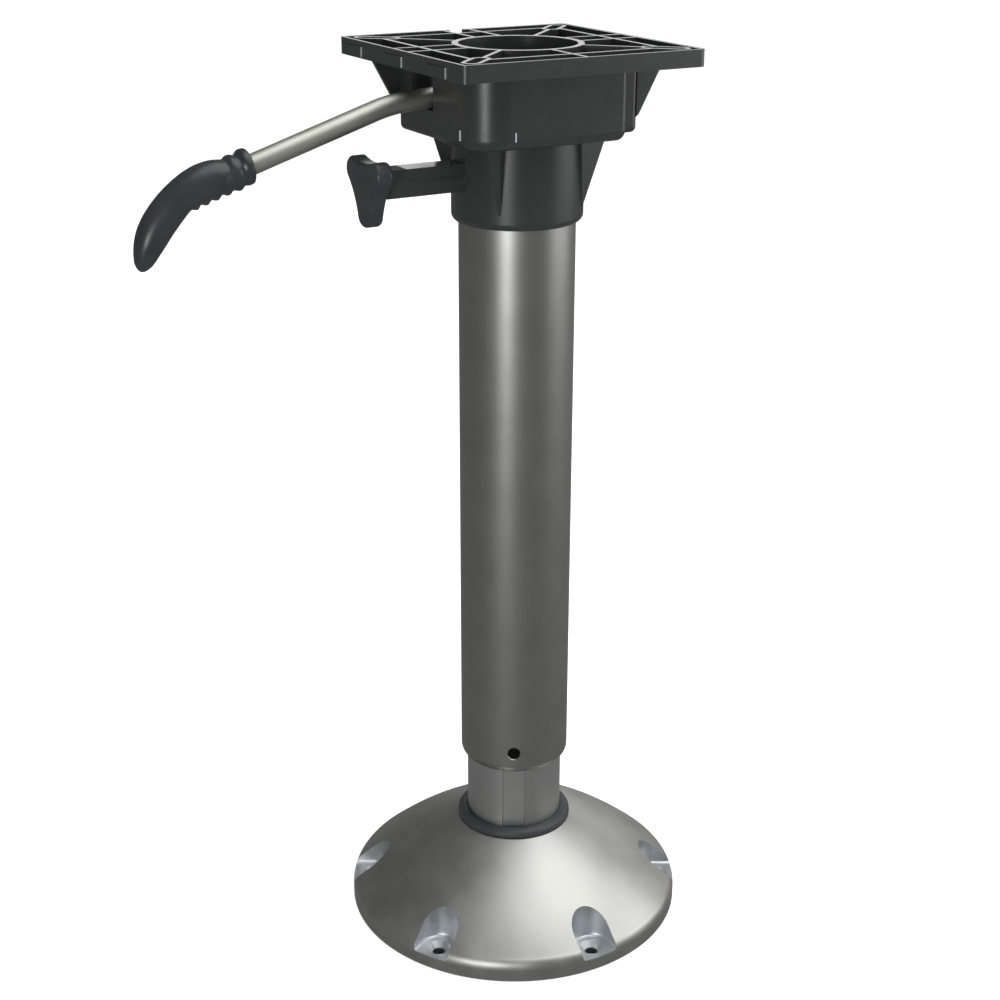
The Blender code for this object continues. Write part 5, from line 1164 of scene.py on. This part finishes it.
@dataclass
class Head(SubAssembly):
    """The moulded head: seat plate, ribs, housing, collar, fins and knob boss."""

    top: float = 590.0 * MM
    side: float = 160.8 * MM
    corner: float = 4.0 * MM
    rim_height: float = 10.0 * MM
    floor: float = 3.2 * MM
    rim_wall: float = 2.7 * MM
    rib: float = 2.5 * MM
    rib_square: float = 124.0 * MM
    rib_pair: float = 18.0 * MM
    slot_inner: float = 80.0 * MM
    slot_outer: float = 98.0 * MM
    slot_half: float = 3.5 * MM
    slot_wall: float = 2.4 * MM
    notch_width: float = 10.0 * MM
    notch_depth: float = 4.5 * MM
    mouth_near: float = 7.6 * MM
    mouth_far: float = 22.0 * MM
    mouth_top: float = 12.0 * MM
    mouth_bottom: float = 35.5 * MM
    gate_bottom: float = 36.0 * MM
    well: float = 36.0 * MM
    well_wall: float = 3.8 * MM
    wall_step: float = 3.5 * MM
    housing_x: float = 60.2 * MM
    housing_y: float = 41.0 * MM
    housing_bottom: float = 52.0 * MM
    housing_fillet: float = 3.5 * MM
    housing_corner: float = 4.0 * MM
    wall: float = 3.0 * MM
    block_x: float = 61.5 * MM
    block_y: float = 60.0 * MM
    block_inner: float = 6.0 * MM
    block_short: float = 40.3 * MM
    block_bottom: float = 53.0 * MM
    block_fillet: float = 6.5 * MM
    block_round: float = 23.0 * MM
    inner_corner: float = 1.0 * MM
    gusset_reach: float = 77.8 * MM
    gusset_heel: float = 41.0 * MM
    gusset_thickness: float = 3.0 * MM
    cove_radius: float = 7.0 * MM
    collar: float = 40.9 * MM
    collar_length: float = 106.0 * MM
    collar_fillet: float = 4.5 * MM
    collar_bore: float = 38.6 * MM
    collar_lip: float = 1.1 * MM
    collar_lip_height: float = 2.4 * MM
    fin_top_radius: float = 55.0 * MM
    fin_top_half: float = 4.0 * MM
    fin_tip_half: float = 1.0 * MM
    fin_tip_height: float = 10.0 * MM
    ledge_top: float = 37.5 * MM
    ledge_thickness: float = 5.4 * MM
    ledge_bore: float = 12.0 * MM
    pivot_x: float = -26.0 * MM
    pivot_rise: float = 14.6 * MM
    pivot_bore: float = 2.8 * MM
    lug_half: float = 7.0 * MM
    lug_inner: float = 6.4 * MM
    lug_outer: float = 11.0 * MM
    boss_radius: float = 7.9 * MM
    boss_root: float = 0.6 * MM
    boss_end: float = 92.3 * MM
    boss_height: float = 513.4 * MM
    boss_fillet: float = 1.0 * MM
    stem_half: float = 7.4 * MM
    stem_top: float = 9.3 * MM
    least_radius: float = 0.3 * MM
    edge: float = 0.45 * MM
    segments: int = 144

    def below(self, depth: float) -> float:
        """The height that lies a depth below the plate's top."""
        return self.top - depth

    def rounded(self, corners: Array, radii: Sequence[float], inset: float = 0.0) -> Array:
        """A plan outline moved in by an inset, with its corners rounded less by the same."""
        kept = np.maximum(np.asarray(radii) - inset, self.least_radius)
        return softened(inset_corners(corners, inset), kept, 8, closed=True)

    def block_plan(self, inset: float = 0.0) -> Array:
        """The front side block's plan. Its partner is the same, turned half round."""
        x, y, short = self.block_x - inset, self.block_y - inset, self.block_short - inset
        return np.array([[-x, -y], [short, -y], [short, -self.block_inner], [-x, -self.block_inner]])

    def filleted(
        self, name: str, corners: Array, radii: Sequence[float], span: tuple[float, float], fillet: float
    ) -> bpy.types.Object:
        """An upright block with rounded corners and a quarter-round bottom edge.

        Args:
            name: the object's name.
            corners: its plan.
            radii: a radius for each corner.
            span: its lowest and highest points.
            fillet: the bottom edge's radius.

        Returns:
            The block.
        """
        angles = np.linspace(0, math.pi / 2, 8)
        insets = np.append(fillet * (1 - np.sin(angles)), 0.0)
        heights = np.append(span[0] + fillet * (1 - np.cos(angles)), span[1])
        return grid_object(name, lifted([self.rounded(corners, radii, i) for i in insets], heights))

    def slab(self) -> bpy.types.Object:
        """The plate as a solid slab."""
        outline = self.rounded(square_corners(self.side / 2, self.side / 2), [self.corner] * 4)
        return grid_object("seat_plate_head", prism(outline, self.below(self.rim_height), self.top))

    def fins(self) -> bpy.types.Object:
        """Four fins on the diagonals that taper from the housing's floor down the collar."""
        root, tip_z = self.collar - 3 * MM, self.below(self.collar_length) + self.fin_tip_height
        rows = [
            (tip_z, self.collar + 0.3 * MM, self.fin_tip_half),
            (self.below(self.housing_bottom) + SUNK, self.fin_top_radius, self.fin_top_half),
        ]
        outlines = [np.array([[root, -h], [r, -h], [r, h], [root, h]]) for _, r, h in rows]
        return round_copies("collar_fins", lifted(outlines, [z for z, _, _ in rows]), quarters(4))

    def gussets(self) -> bpy.types.Object:
        """The webs under the plate beside the housing, one at each end."""
        heel, under = self.housing_x - SUNK, self.below(self.rim_height)
        foot = self.below(self.gusset_heel)
        side = np.array(
            [
                [heel, foot - SUNK],
                [self.housing_x + 0.3 * MM, foot],
                [self.gusset_reach, under],
                [self.gusset_reach, under + SUNK],
                [heel, under + SUNK],
            ]
        )
        web = prism(side, -self.housing_y, -self.housing_y + self.gusset_thickness)[..., [0, 2, 1]]
        grids = [turned_about_z(grid, turn) for grid in (web, self.cove()) for turn in (0, math.pi)]
        return spaced("plate_gussets", grids)

    def cove(self) -> Array:
        """The hollow curve that joins the front block's end to the housing's face."""
        size, end, face = self.cove_radius, self.block_short, -self.housing_y
        arc = size * directions(np.linspace(math.pi, math.pi / 2, 12)) + [end + size, face - size]
        root = [[end + size, face + PAST], [end - PAST, face + PAST], [end - PAST, face - size]]
        plan = np.concatenate([arc, root])[::-1]
        return prism(plan, self.below(self.gusset_heel), self.below(self.rim_height) + PAST)

    def forms(self) -> list[tuple[Cut, bpy.types.Object]]:
        """The outside forms under the plate."""
        top = self.below(self.rim_height) + self.floor
        radii = [self.housing_corner] * 4
        housing = square_corners(self.housing_x, self.housing_y)
        bottom = self.below(self.housing_bottom)
        steps = [(Cut.ON, self.filleted("housing_form", housing, radii, (bottom, top), self.housing_fillet))]
        block_radii = (self.block_round, self.housing_corner, self.inner_corner, self.inner_corner)
        for name, sign in (("front_block", 1), ("rear_block", -1)):
            plan = self.block_plan() * sign
            span = self.below(self.block_bottom), top - 0.3 * MM
            block = self.filleted(name, plan, block_radii, span, self.block_fillet)
            steps.append((Cut.ON, block))
        low, high, core = self.below(self.collar_length), bottom + self.wall, 10 * MM
        corners = np.array([[core, low], [self.collar, low], [self.collar, high], [core, high]])
        collar = revolved(softened(corners, np.array([0, self.collar_fillet, 0, 0]), 10), self.segments)
        start, near, radius = self.collar - SUNK, self.collar + 2 * self.boss_root, self.boss_radius
        corners = np.array([[radius + self.boss_root, start], [radius, near], [radius, self.boss_end]])
        boss = revolved(softened(corners, np.array([0, self.boss_fillet, 0])), 64)
        stem = box_grid(
            (-self.boss_end + 0.2 * MM, -self.stem_half, self.boss_height - self.stem_half),
            (-start, self.stem_half, self.boss_height + self.stem_top),
        )
        return steps + [
            (Cut.ON, grid_object("collar_form", collar)),
            (Cut.ON, self.fins()),
            (Cut.ON, self.gussets()),
            (Cut.ON, grid_object("boss_form", along_minus_x(boss, self.boss_height))),
            (Cut.ON, grid_object("boss_stem", stem)),
        ]

    def bars(self) -> bpy.types.Object:
        """The plate's straight ribs, as walls that reach from the well's wall to the rim."""
        low, high, half = self.below(self.block_bottom), self.top + 3 * PAST, self.rib / 2
        near, far, pair = self.well + half, self.side / 2 - half, self.rib_pair / 2
        grids = [box_grid((near, y - half, low), (far, y + half, high)) for y in (-pair, pair)]
        grids += [box_grid((-far, y - half, low), (-near, y + half, high)) for y in (-pair, pair)]
        grids += [box_grid((x - half, near, low), (x + half, far, high)) for x in (-pair, pair)]
        grids.append(box_grid((-half, -far, low), (half, -near, high)))
        return spaced("straight_ribs", grids)

    def cells(self) -> bpy.types.Object:
        """What is hollowed out from above: the tray and the deep cells, less every rib and wall."""
        tray_floor = self.below(self.rim_height) + self.floor
        low, high, half = self.below(self.block_bottom), self.top + 3 * PAST, self.rib / 2
        inner = square_corners(self.side / 2 - self.rim_wall, self.side / 2 - self.rim_wall)
        tray_plan = self.rounded(inner, [self.corner - self.rim_wall] * 4)
        tray = grid_object("plate_cells", prism(tray_plan, tray_floor, self.top + PAST))
        deep = square_corners(self.housing_x - self.wall, self.housing_y - self.wall)
        deep_plan = self.rounded(deep, [self.housing_corner] * 4)
        floor = self.below(self.housing_bottom) + self.wall
        steps = [(Cut.ON, grid_object("housing_cells", prism(deep_plan, floor, tray_floor + PAST)))]
        radii = (self.block_round - self.wall, self.housing_corner, self.inner_corner, self.inner_corner)
        for name, sign in (("front_cells", 1), ("rear_cells", -1)):
            plan = self.rounded(self.block_plan(self.wall), radii) * sign
            floor = self.below(self.block_bottom) + self.wall
            steps.append((Cut.ON, grid_object(name, prism(plan, floor, tray_floor + 0.5 * MM))))
        reach = self.slot_inner - self.slot_half - half
        rib = box_grid((self.well + half, -half, low), (reach, half, high))
        square = self.rib_square / 2
        ring = [square_corners(square + d, square + d) for d in (half, half, -half, -half)]
        boss = slot_outline(self.slot_inner, self.slot_outer, self.slot_half + self.slot_wall)
        step = self.below(self.ledge_top) + self.wall_step
        wall = np.array(
            [
                [self.collar, low],
                [self.collar, step],
                [self.well + self.well_wall, step + self.wall_step],
                [self.well + self.well_wall, high],
            ]
        )
        steps += [
            (Cut.AWAY, self.bars()),
            (Cut.AWAY, round_copies("diagonal_ribs", rib, quarters(4))),
            (Cut.AWAY, grid_object("square_rib", lifted(ring, [low, high, high, low]), ring=True)),
            (Cut.AWAY, round_copies("slot_bosses", prism(boss, low, high), quarters(4))),
            (Cut.AWAY, grid_object("well_wall", revolved(wall, self.segments))),
        ]
        return shaped(tray, steps)

    def bore(self) -> bpy.types.Object:
        """The column's bore, the hole in the ledge over it, and the open well."""
        low, lip = self.below(self.collar_length), self.collar_bore - self.collar_lip
        ledge = self.below(self.ledge_top)
        profile = np.array(
            [
                [lip, low - PAST],
                [lip, low + self.collar_lip_height],
                [self.collar_bore, low + self.collar_lip_height],
                [self.collar_bore, ledge - self.ledge_thickness],
                [self.ledge_bore, ledge - self.ledge_thickness],
                [self.ledge_bore, ledge],
                [self.well, ledge],
                [self.well, self.top + PAST],
            ]
        )
        return grid_object("column_bore", revolved(profile, self.segments))

    def clamp_bore(self) -> bpy.types.Object:
        """The stepped bore of the knob's boss."""
        steps = ((5.8, 36.5, 45.2), (4.3, 45.2, 74.0), (5.9, 74.0, 93.3))
        profile = np.array([[radius, end] for radius, *ends in steps for end in ends]) * MM
        return grid_object("clamp_bore", along_minus_x(revolved(profile, 48), self.boss_height))

    def openings(self) -> bpy.types.Object:
        """The lever's mouth in the housing, its gate in the well's wall and the notch in the rear rim."""
        near, far, roof = -self.mouth_near, self.mouth_far, self.below(self.mouth_top)
        mouth = box_grid(
            (-self.block_x - PAST, near, self.below(self.mouth_bottom)), (-self.block_x + 9 * MM, far, roof)
        )
        slit = box_grid(
            (-self.collar - PAST, near, self.below(self.gate_bottom)), (-self.well + 4.5 * MM, -near, roof)
        )
        half, edge, low = self.notch_width / 2, self.side / 2, self.below(self.notch_depth)
        notch = box_grid((-half, edge - 2 * self.rim_wall, low), (half, edge + PAST, self.top + PAST))
        return spaced("head_openings", (mouth, slit, notch))

    def lugs(self) -> bpy.types.Object:
        """Two round-topped ears in the well that carry the lever's pivot."""
        ledge = self.below(self.ledge_top)
        root, centre = ledge - self.ledge_thickness / 2, ledge + self.pivot_rise
        arc = self.lug_half * directions(np.linspace(0, math.pi, 25)) + [self.pivot_x, centre]
        ends = np.array([[self.pivot_x - self.lug_half, root], [self.pivot_x + self.lug_half, root]])
        side = np.concatenate([ends, arc])
        spans = (self.lug_inner, self.lug_outer), (-self.lug_outer, -self.lug_inner)
        return spaced("pivot_lugs", [prism(side, near, far)[..., [0, 2, 1]] for near, far in spans])

    def pivot_hole(self) -> bpy.types.Object:
        """The cross hole through both ears."""
        reach = self.lug_outer + PAST
        grid = revolved(np.array([[self.pivot_bore, -reach], [self.pivot_bore, reach]]), 32)
        centre = self.below(self.ledge_top) + self.pivot_rise
        return grid_object("pivot_hole", grid[..., [0, 2, 1]] + [self.pivot_x, 0, centre])

    def moulding(self) -> bpy.types.Object:
        """The whole head."""
        head = self.slab()
        slot = slot_outline(self.slot_inner, self.slot_outer, self.slot_half)
        under, over = self.below(self.rim_height) - PAST, self.top + PAST
        steps = [
            *self.forms(),
            (Cut.AWAY, self.cells()),
            (Cut.AWAY, self.bore()),
            (Cut.AWAY, self.clamp_bore()),
            (Cut.AWAY, round_copies("bolt_slots", prism(slot, under, over), quarters(4))),
            (Cut.AWAY, self.openings()),
            (Cut.ON, self.lugs()),
            (Cut.AWAY, self.pivot_hole()),
        ]
        shaped(head, steps)
        eased(head, self.edge)
        return head

    def paint_top_highlights(self, head: bpy.types.Object) -> None:
        """Gives the flat tops of the plate's rim, ribs and well wall, and the stem's top, a lighter, glossier
        copy of the moulding: a painted highlight for the light they catch.
        """
        x, _, z = face_vectors(head, "center").T
        up = face_vectors(head, "normal")[:, 2]
        ribs = (z > self.top - 0.6 * MM) & (up > 0.3)
        stem = (np.abs(z - self.boss_height - self.stem_top) < 0.1 * MM) & (up > 0.9) & (x < -self.collar)
        self.second_look(head, TOP_HIGHLIGHT, ribs | stem)

    def pads(self) -> bpy.types.Object:
        """Three shallow raised pads on the rim's left face."""
        low, high, face = self.below(self.rim_height) + 0.8 * MM, self.below(3.2 * MM), -self.side / 2
        spans = ((48.0, 72.5), (-6.0, 17.0), (-60.4, -38.0))
        grids = [box_grid((face - 0.8 * MM, a * MM, low), (face + 0.2 * MM, b * MM, high)) for a, b in spans]
        return spaced("rim_pads", grids)

    def seams(self) -> bpy.types.Object:
        """Two short ridges low on the front block, where its big round corner meets the flats."""
        x, y, low, proud, half = -self.block_x, -self.block_y, self.below(47.4 * MM), 0.3 * MM, 0.35 * MM
        turn_x, turn_y = x + self.block_round + 2.8 * MM, y + self.block_round - 3.8 * MM
        grids = [
            box_grid((turn_x - half, y - proud, low), (turn_x + half, y + PAST, low + 5.4 * MM)),
            box_grid((x - proud, turn_y - half, low), (x + PAST, turn_y + half, low + 6 * MM)),
        ]
        return spaced("block_seams", grids)

    def build(self) -> None:
        """Makes and dresses the head."""
        head = self.dress(self.moulding(), BLACK_MOULDING, "mount", "swivel_mount")
        self.paint_top_highlights(head)
        pads = self.dress(self.pads(), BLACK_MOULDING, "mount")
        # The pads' -Y ends and the seam ridges are light grey: a painted glint for the light their edges
        # catch
        self.second_look(pads, EDGE_GLINT, face_vectors(pads, "normal")[:, 1] < -0.9)
        self.dress(self.seams(), EDGE_GLINT, "mount")
        self.repaint(GREY_NYLON, "swivel_bush")
        self.repaint(BRASS, "friction_insert")
        self.repaint(BRIGHT_ROD, "lever_pivot_pin")
        self.repaint(BLACK_STEEL, "pivot_clip_near", "pivot_clip_far")


@dataclass
class Lever(SubAssembly):
    """The height lever: a bent rod with a moulded grip."""

    pivot_x: float = -26.0 * MM
    pivot_z: float = 567.1 * MM
    pivot_bore: float = 2.8 * MM
    radius: float = 6.0 * MM
    end_edge: float = 0.8 * MM
    tongue_x: float = 4.5 * MM
    tongue_start: float = -17.5 * MM
    tongue_drop: float = 0.5 * MM
    # How far out along -X, and how far below the pivot, the rod's centreline turns
    bends: tuple[tuple[float, float], ...] = (
        (30.0 * MM, 0.0),
        (52.0 * MM, 4.8 * MM),
        (86.0 * MM, 7.5 * MM),
        (206.0 * MM, 45.2 * MM),
    )
    bend_radius: float = 90.0 * MM
    grip_start: tuple[float, float] = (-174.0 * MM, 532.1 * MM)
    grip_knee: tuple[float, float] = (-232.2 * MM, 520.6 * MM)
    grip_tip: tuple[float, float] = (-240.9 * MM, 478.6 * MM)
    grip_bore: float = 6.3 * MM
    ridge_start: float = 0.048
    ridge_end: float = 0.428
    ridge_count: int = 5
    ridge_height: float = 0.8 * MM
    # Share of the spine, and how far the grip reaches up, down and to each side there, in mm
    sections: tuple[tuple[float, float, float, float], ...] = (
        (0.000, 9.0, 9.0, 9.0),
        (0.006, 10.1, 10.2, 10.1),
        (0.014, 10.5, 10.6, 10.5),
        (0.036, 10.5, 10.6, 10.5),
        (0.046, 9.6, 10.2, 9.9),
        (0.056, 8.4, 9.9, 9.1),
        (0.066, 8.5, 9.9, 9.1),
        (0.080, 9.4, 10.1, 9.7),
        (0.098, 9.6, 10.2, 9.9),
        (0.110, 9.0, 10.3, 9.6),
        (0.121, 8.2, 10.3, 9.1),
        (0.142, 9.1, 10.2, 9.5),
        (0.163, 10.0, 10.0, 9.9),
        (0.183, 10.7, 9.8, 10.1),
        (0.204, 11.2, 9.8, 10.2),
        (0.245, 11.9, 9.6, 10.3),
        (0.275, 12.2, 9.5, 10.4),
        (0.320, 12.25, 8.9, 10.4),
        (0.346, 12.2, 8.5, 10.3),
        (0.400, 11.9, 7.7, 10.1),
        (0.428, 11.7, 7.3, 10.0),
        (0.450, 11.6, 7.5, 10.0),
        (0.490, 11.3, 8.2, 9.9),
        (0.550, 10.9, 8.9, 9.8),
        (0.610, 10.5, 9.3, 9.6),
        (0.670, 10.15, 9.4, 9.4),
        (0.735, 9.55, 9.3, 9.0),
        (0.780, 8.9, 9.0, 8.6),
        (0.820, 8.15, 8.5, 8.0),
        (0.860, 7.3, 7.8, 7.2),
        (0.900, 6.25, 7.0, 6.3),
        (0.940, 5.1, 5.8, 5.1),
        (0.960, 4.3, 4.8, 4.2),
        (0.980, 2.9, 3.4, 2.9),
        (0.993, 1.6, 1.9, 1.6),
        (1.000, 0.0, 0.0, 0.0),
    )

    def centreline(self) -> Array:
        """Corners of the rod's centreline as rows of X and Z, from the tongue outward."""
        out, down = np.array(self.bends).T
        return np.stack([np.append(self.tongue_x, -out), self.pivot_z - np.append(0.0, down)], axis=-1)

    def rod(self) -> bpy.types.Object:
        """Round bar along the lever's bent line, with a milled tongue and a cross hole."""
        path = softened(self.centreline(), self.bend_radius * np.array([0, 1, 1, 1, 0]), 12)
        fine = np.linspace(0, 1, 9)[:, None]
        ends = path[0] + (path[1] - path[0]) * fine[:-1], path[-2] + (path[-1] - path[-2]) * fine[1:]
        path = np.concatenate([ends[0], path[1:-1], ends[1]])
        first = path[0] + unit(path[1] - path[0]) * self.end_edge
        last = path[-1] + unit(path[-2] - path[-1]) * self.end_edge
        path = np.concatenate([path[:1], first[None], path[1:-1], last[None], path[-1:]])
        radius = np.full(len(path), self.radius)
        radius[[0, -1]] -= self.end_edge
        bar = grid_object("lever_bar", carried(path, radius[:, None, None] * directions(full_turn(64))))
        reach = self.radius + PAST
        flat = box_grid(
            (self.tongue_start, -reach, self.pivot_z - reach),
            (self.tongue_x + PAST, reach, self.pivot_z - self.tongue_drop),
        )
        hole = revolved(np.array([[self.pivot_bore, -reach], [self.pivot_bore, reach]]), 32)[..., [0, 2, 1]]
        hole = grid_object("bar_hole", hole + [self.pivot_x, 0, self.pivot_z])
        shaped(bar, [(Cut.AWAY, grid_object("tongue_flat", flat)), (Cut.AWAY, hole)])
        smoothed(bar, 35)
        return bar

    def grip(self) -> bpy.types.Object:
        """Grip along a quadratic Bezier spine.

        Each section is made of two half ellipses from the table above, whose values a short moving
        average softens between the ends. The underside also drops by a raised cosine of the spine's
        share, which makes the finger ridges.
        """
        table = np.array(self.sections)
        t = np.linspace(0, 1, 321)[:, None]
        start, knee, tip = (np.array(p) for p in (self.grip_start, self.grip_knee, self.grip_tip))
        spine = start * (1 - t) ** 2 + knee * 2 * t * (1 - t) + tip * t**2
        share = t[:, 0]
        reach = np.stack([np.interp(share, table[:, 0], table[:, k]) for k in (1, 2, 3)], axis=-1) * MM
        spread = np.lib.stride_tricks.sliding_window_view(reach, 5, axis=0).mean(axis=-1)
        reach[4:-12] = spread[2:-10]
        phase = (share - self.ridge_start) / (self.ridge_end - self.ridge_start)
        drop = self.ridge_height * (1 - np.cos(TAU * phase * self.ridge_count)) * ((phase > 0) & (phase < 1))
        angles = full_turn(72)
        under = np.clip((-np.sin(angles) - 0.2) / 0.5, 0, 1)
        rise = np.where(np.sin(angles) > 0, reach[:, :1], reach[:, 1:2]) * np.sin(angles)
        up = rise - drop[:, None] * under * under * (3 - 2 * under)
        section = np.stack([reach[:, 2:] * np.cos(angles), up], axis=-1)
        grip = grid_object("hand_grip", carried(spine, section))
        bend, end = self.centreline()[-2:]
        depth = float(np.linalg.norm(end - bend))
        ahead = (end - bend) / depth
        bore = revolved(np.array([[self.grip_bore, 0.5 * depth], [self.grip_bore, depth + 0.3 * MM]]), 48)
        along, across = bore[..., 2], bore[..., 0]
        x = bend[0] + along * ahead[0] - across * ahead[1]
        z = bend[1] + along * ahead[1] + across * ahead[0]
        shaped(grip, [(Cut.AWAY, grid_object("grip_bore", np.stack([x, bore[..., 1], z], axis=-1)))])
        smoothed(grip, 60)
        return grip

    def build(self) -> None:
        """Makes and dresses the lever."""
        self.dress(self.rod(), LEVER_SATIN, "lever", "lever_rod")
        self.dress(self.grip(), BLACK_GRIP, "lever", "lever_grip")


@dataclass
class Clamp(SubAssembly):
    """The swivel clamp: knob, screw and pad."""

    height: float = 513.4 * MM
    back: float = 93.6 * MM
    hub_radius: float = 9.6 * MM
    hub_length: float = 0.8 * MM
    bore: float = 4.3 * MM
    bore_depth: float = 8.3 * MM
    thickness: float = 10.8 * MM
    lobe_circle: float = 16.3 * MM
    lobe_radius: float = 8.0 * MM
    web_radius: float = 15.5 * MM
    dip: float = 0.77
    edge: float = 2.4 * MM

    def outline(self, inset: float) -> Array:
        """Three round lobes, and between each two a flank that dips towards the web as a parabola."""
        lobe, waist = self.lobe_radius - inset, self.web_radius - inset
        turns = -math.pi / 2 + np.arange(3) * TAU / 3
        lean = math.asin(min(1.0, (waist - lobe) / self.lobe_circle))
        spread = math.pi / 2 - lean
        sweep = np.linspace(-spread, spread, 21)
        angles = turns[:, None] + sweep
        arcs = self.lobe_circle * directions(turns)[:, None] + lobe * directions(angles)
        first, last = arcs[:, -1], np.roll(arcs[:, 0], -1, axis=0)
        middle = self.dip * waist * directions(turns + math.pi / 3)
        t = np.linspace(0, 1, 11)[1:-1, None]
        flank = first[:, None] * (1 - t) ** 2 + middle[:, None] * 2 * t * (1 - t) + last[:, None] * t**2
        return np.concatenate([np.concatenate([arcs[k], flank[k]]) for k in range(3)])

    def knob(self) -> bpy.types.Object:
        """Three-lobed knob with quarter-round edges and a short hub behind."""
        angles = np.linspace(0, math.pi / 2, 7)
        near = self.back + self.hub_length
        insets = self.edge * (1 - np.sin(angles))
        depths = self.edge * (1 - np.cos(angles))
        outlines = [self.outline(i) for i in (*insets, *insets[::-1])]
        heights = np.concatenate([near + depths, (near + self.thickness - depths)[::-1]])
        grid = lifted(outlines, heights)[..., [1, 0, 2]]
        body = grid_object("clamp_knob", along_minus_x(grid, self.height))
        hub = np.array([[self.hub_radius, self.back], [self.hub_radius, near + SUNK]])
        hub_form = grid_object("knob_hub", along_minus_x(revolved(hub, 64), self.height))
        bore = np.array([[self.bore, self.back - PAST], [self.bore, self.back + self.bore_depth]])
        bore_form = grid_object("knob_bore", along_minus_x(revolved(bore, 48), self.height))
        shaped(body, [(Cut.ON, hub_form), (Cut.AWAY, bore_form)])
        smoothed(body, 40)
        return body

    def build(self) -> None:
        """Makes and dresses the clamp."""
        self.dress(self.knob(), BLACK_KNOB, "knob", "friction_knob")
        self.repaint(ZINC_STEEL, "friction_screw")
        self.repaint(BRASS, "friction_pad")


# Studio


@dataclass
class Lamp:
    """One soft rectangular light."""

    name: str
    place: tuple[float, float, float]
    aim: tuple[float, float, float]
    size: tuple[float, float]
    power: float

    def build(self) -> None:
        """Adds the light, pointing at its aim."""
        light = bpy.data.lights.new(self.name, "AREA")
        light.shape = "RECTANGLE"
        light.size, light.size_y = self.size
        light.energy = self.power
        lamp = linked(self.name, light)
        lamp.location = self.place
        lamp.rotation_euler = (Vector(self.aim) - Vector(self.place)).to_track_quat("-Z", "Y").to_euler()


@dataclass
class Studio:
    """Camera, floor, world and lamps."""

    effects: Effects
    distance: float = 1054.3 * MM
    height: float = 709.4 * MM
    azimuth: float = math.radians(30.0)
    pan: float = math.radians(-0.553)
    tilt: float = math.radians(21.371)
    roll: float = math.radians(0.133)
    lens: float = 61.87
    floor_half: float = 6.0
    floor_top: float = -0.2 * MM
    shade_radius: float = 109.0 * MM
    world_light: float = 0.5
    world_mirrored: float = 0.11
    lamps: tuple[Lamp, ...] = (
        Lamp("soft_above", (0.46, -0.36, 1.75), (0.0, 0.0, 0.1), (1.7, 1.7), 20.0),
        Lamp("panel_right", (1.30, -0.50, 1.00), (0.0, 0.0, 0.1), (0.9, 1.1), 1.2),
        Lamp("box_right", (1.12, -0.62, 0.55), (0.0, 0.0, 0.3), (1.0, 0.5), 4.2),
        Lamp("box_front", (-1.14, -0.99, 0.50), (0.0, 0.0, 0.45), (0.33, 0.5), 6.6),
        Lamp("glow_behind", (2.1, 2.1, 1.0), (0.0, 0.0, 0.55), (3.0, 0.9), 10.0),
    )

    def camera(self) -> None:
        """The camera: its place from azimuth, distance and height, its axes from pan, tilt and roll."""
        sin_a, cos_a = math.sin(self.azimuth), math.cos(self.azimuth)
        ahead, right = Vector((sin_a, cos_a, 0)), Vector((cos_a, -sin_a, 0))
        level = ahead * math.cos(self.pan) + right * math.sin(self.pan)
        side = right * math.cos(self.pan) - ahead * math.sin(self.pan)
        forward = level * math.cos(self.tilt) - Vector((0, 0, 1)) * math.sin(self.tilt)
        up = side.cross(forward)
        x = side * math.cos(self.roll) + up * math.sin(self.roll)
        y = up * math.cos(self.roll) - side * math.sin(self.roll)
        place = -ahead * self.distance + Vector((0, 0, self.height))
        lens = bpy.data.cameras.new("photo_camera")
        lens.lens, lens.sensor_width = self.lens, 36.0
        lens.clip_start, lens.clip_end = 0.05, 50.0
        camera = linked("photo_camera", lens)
        camera.matrix_world = Matrix((x, y, -forward)).transposed().to_4x4()
        camera.location = place
        bpy.context.scene.camera = camera

    def floor(self) -> None:
        """A wide flat floor, seen as white by the camera."""
        plan = square_corners(self.floor_half, self.floor_half)
        floor = grid_object("studio_floor", prism(plan, -20 * MM, self.floor_top))
        floor.data.materials.append(FLOOR_WHITE.build(self.effects))

    def shade(self) -> None:
        """A dark disc on the floor inside the base's edge, so that the screw holes look into shadow."""
        near, far, low, high = 0.1 * MM, self.shade_radius, self.floor_top, -0.05 * MM
        disc = revolved(np.array([[near, low], [far, low], [far, high], [near, high]]), 96)
        dark = grid_object("shade_disc", disc, ring=True)
        dark.data.materials.append(PAINTED_SHADE.build(self.effects))

    def world(self) -> None:
        """A white world to the camera, and a softer one to what it lights."""
        world = bpy.data.worlds.new("studio_world")
        bpy.context.scene.world = world
        world.use_nodes = True
        board = Board(world.node_tree)
        ground = world.node_tree.nodes["Background"]
        ground.inputs["Color"].default_value = (1.0, 1.0, 1.0, 1.0)
        board.join(board.by_ray(1.0, self.world_mirrored, self.world_light), ground.inputs["Strength"])

    def build(self) -> None:
        """Makes the studio."""
        self.camera()
        self.floor()
        self.shade()
        self.world()
        for lamp in self.lamps:
            lamp.build()
        bpy.context.scene.view_settings.view_transform = "Standard"


def main() -> None:
    """Builds the scene piece by piece."""
    logging.basicConfig(level=logging.INFO, format="%(message)s")
    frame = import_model()
    effects = Effects()
    materials: dict[str, bpy.types.Material] = {}
    Studio(effects).build()
    for kind in (Base, Column, Head, Lever, Clamp):
        kind(frame, effects, materials).build()
        LOG.info("%s built", kind.__name__)


if __name__ == "__main__":
    main()
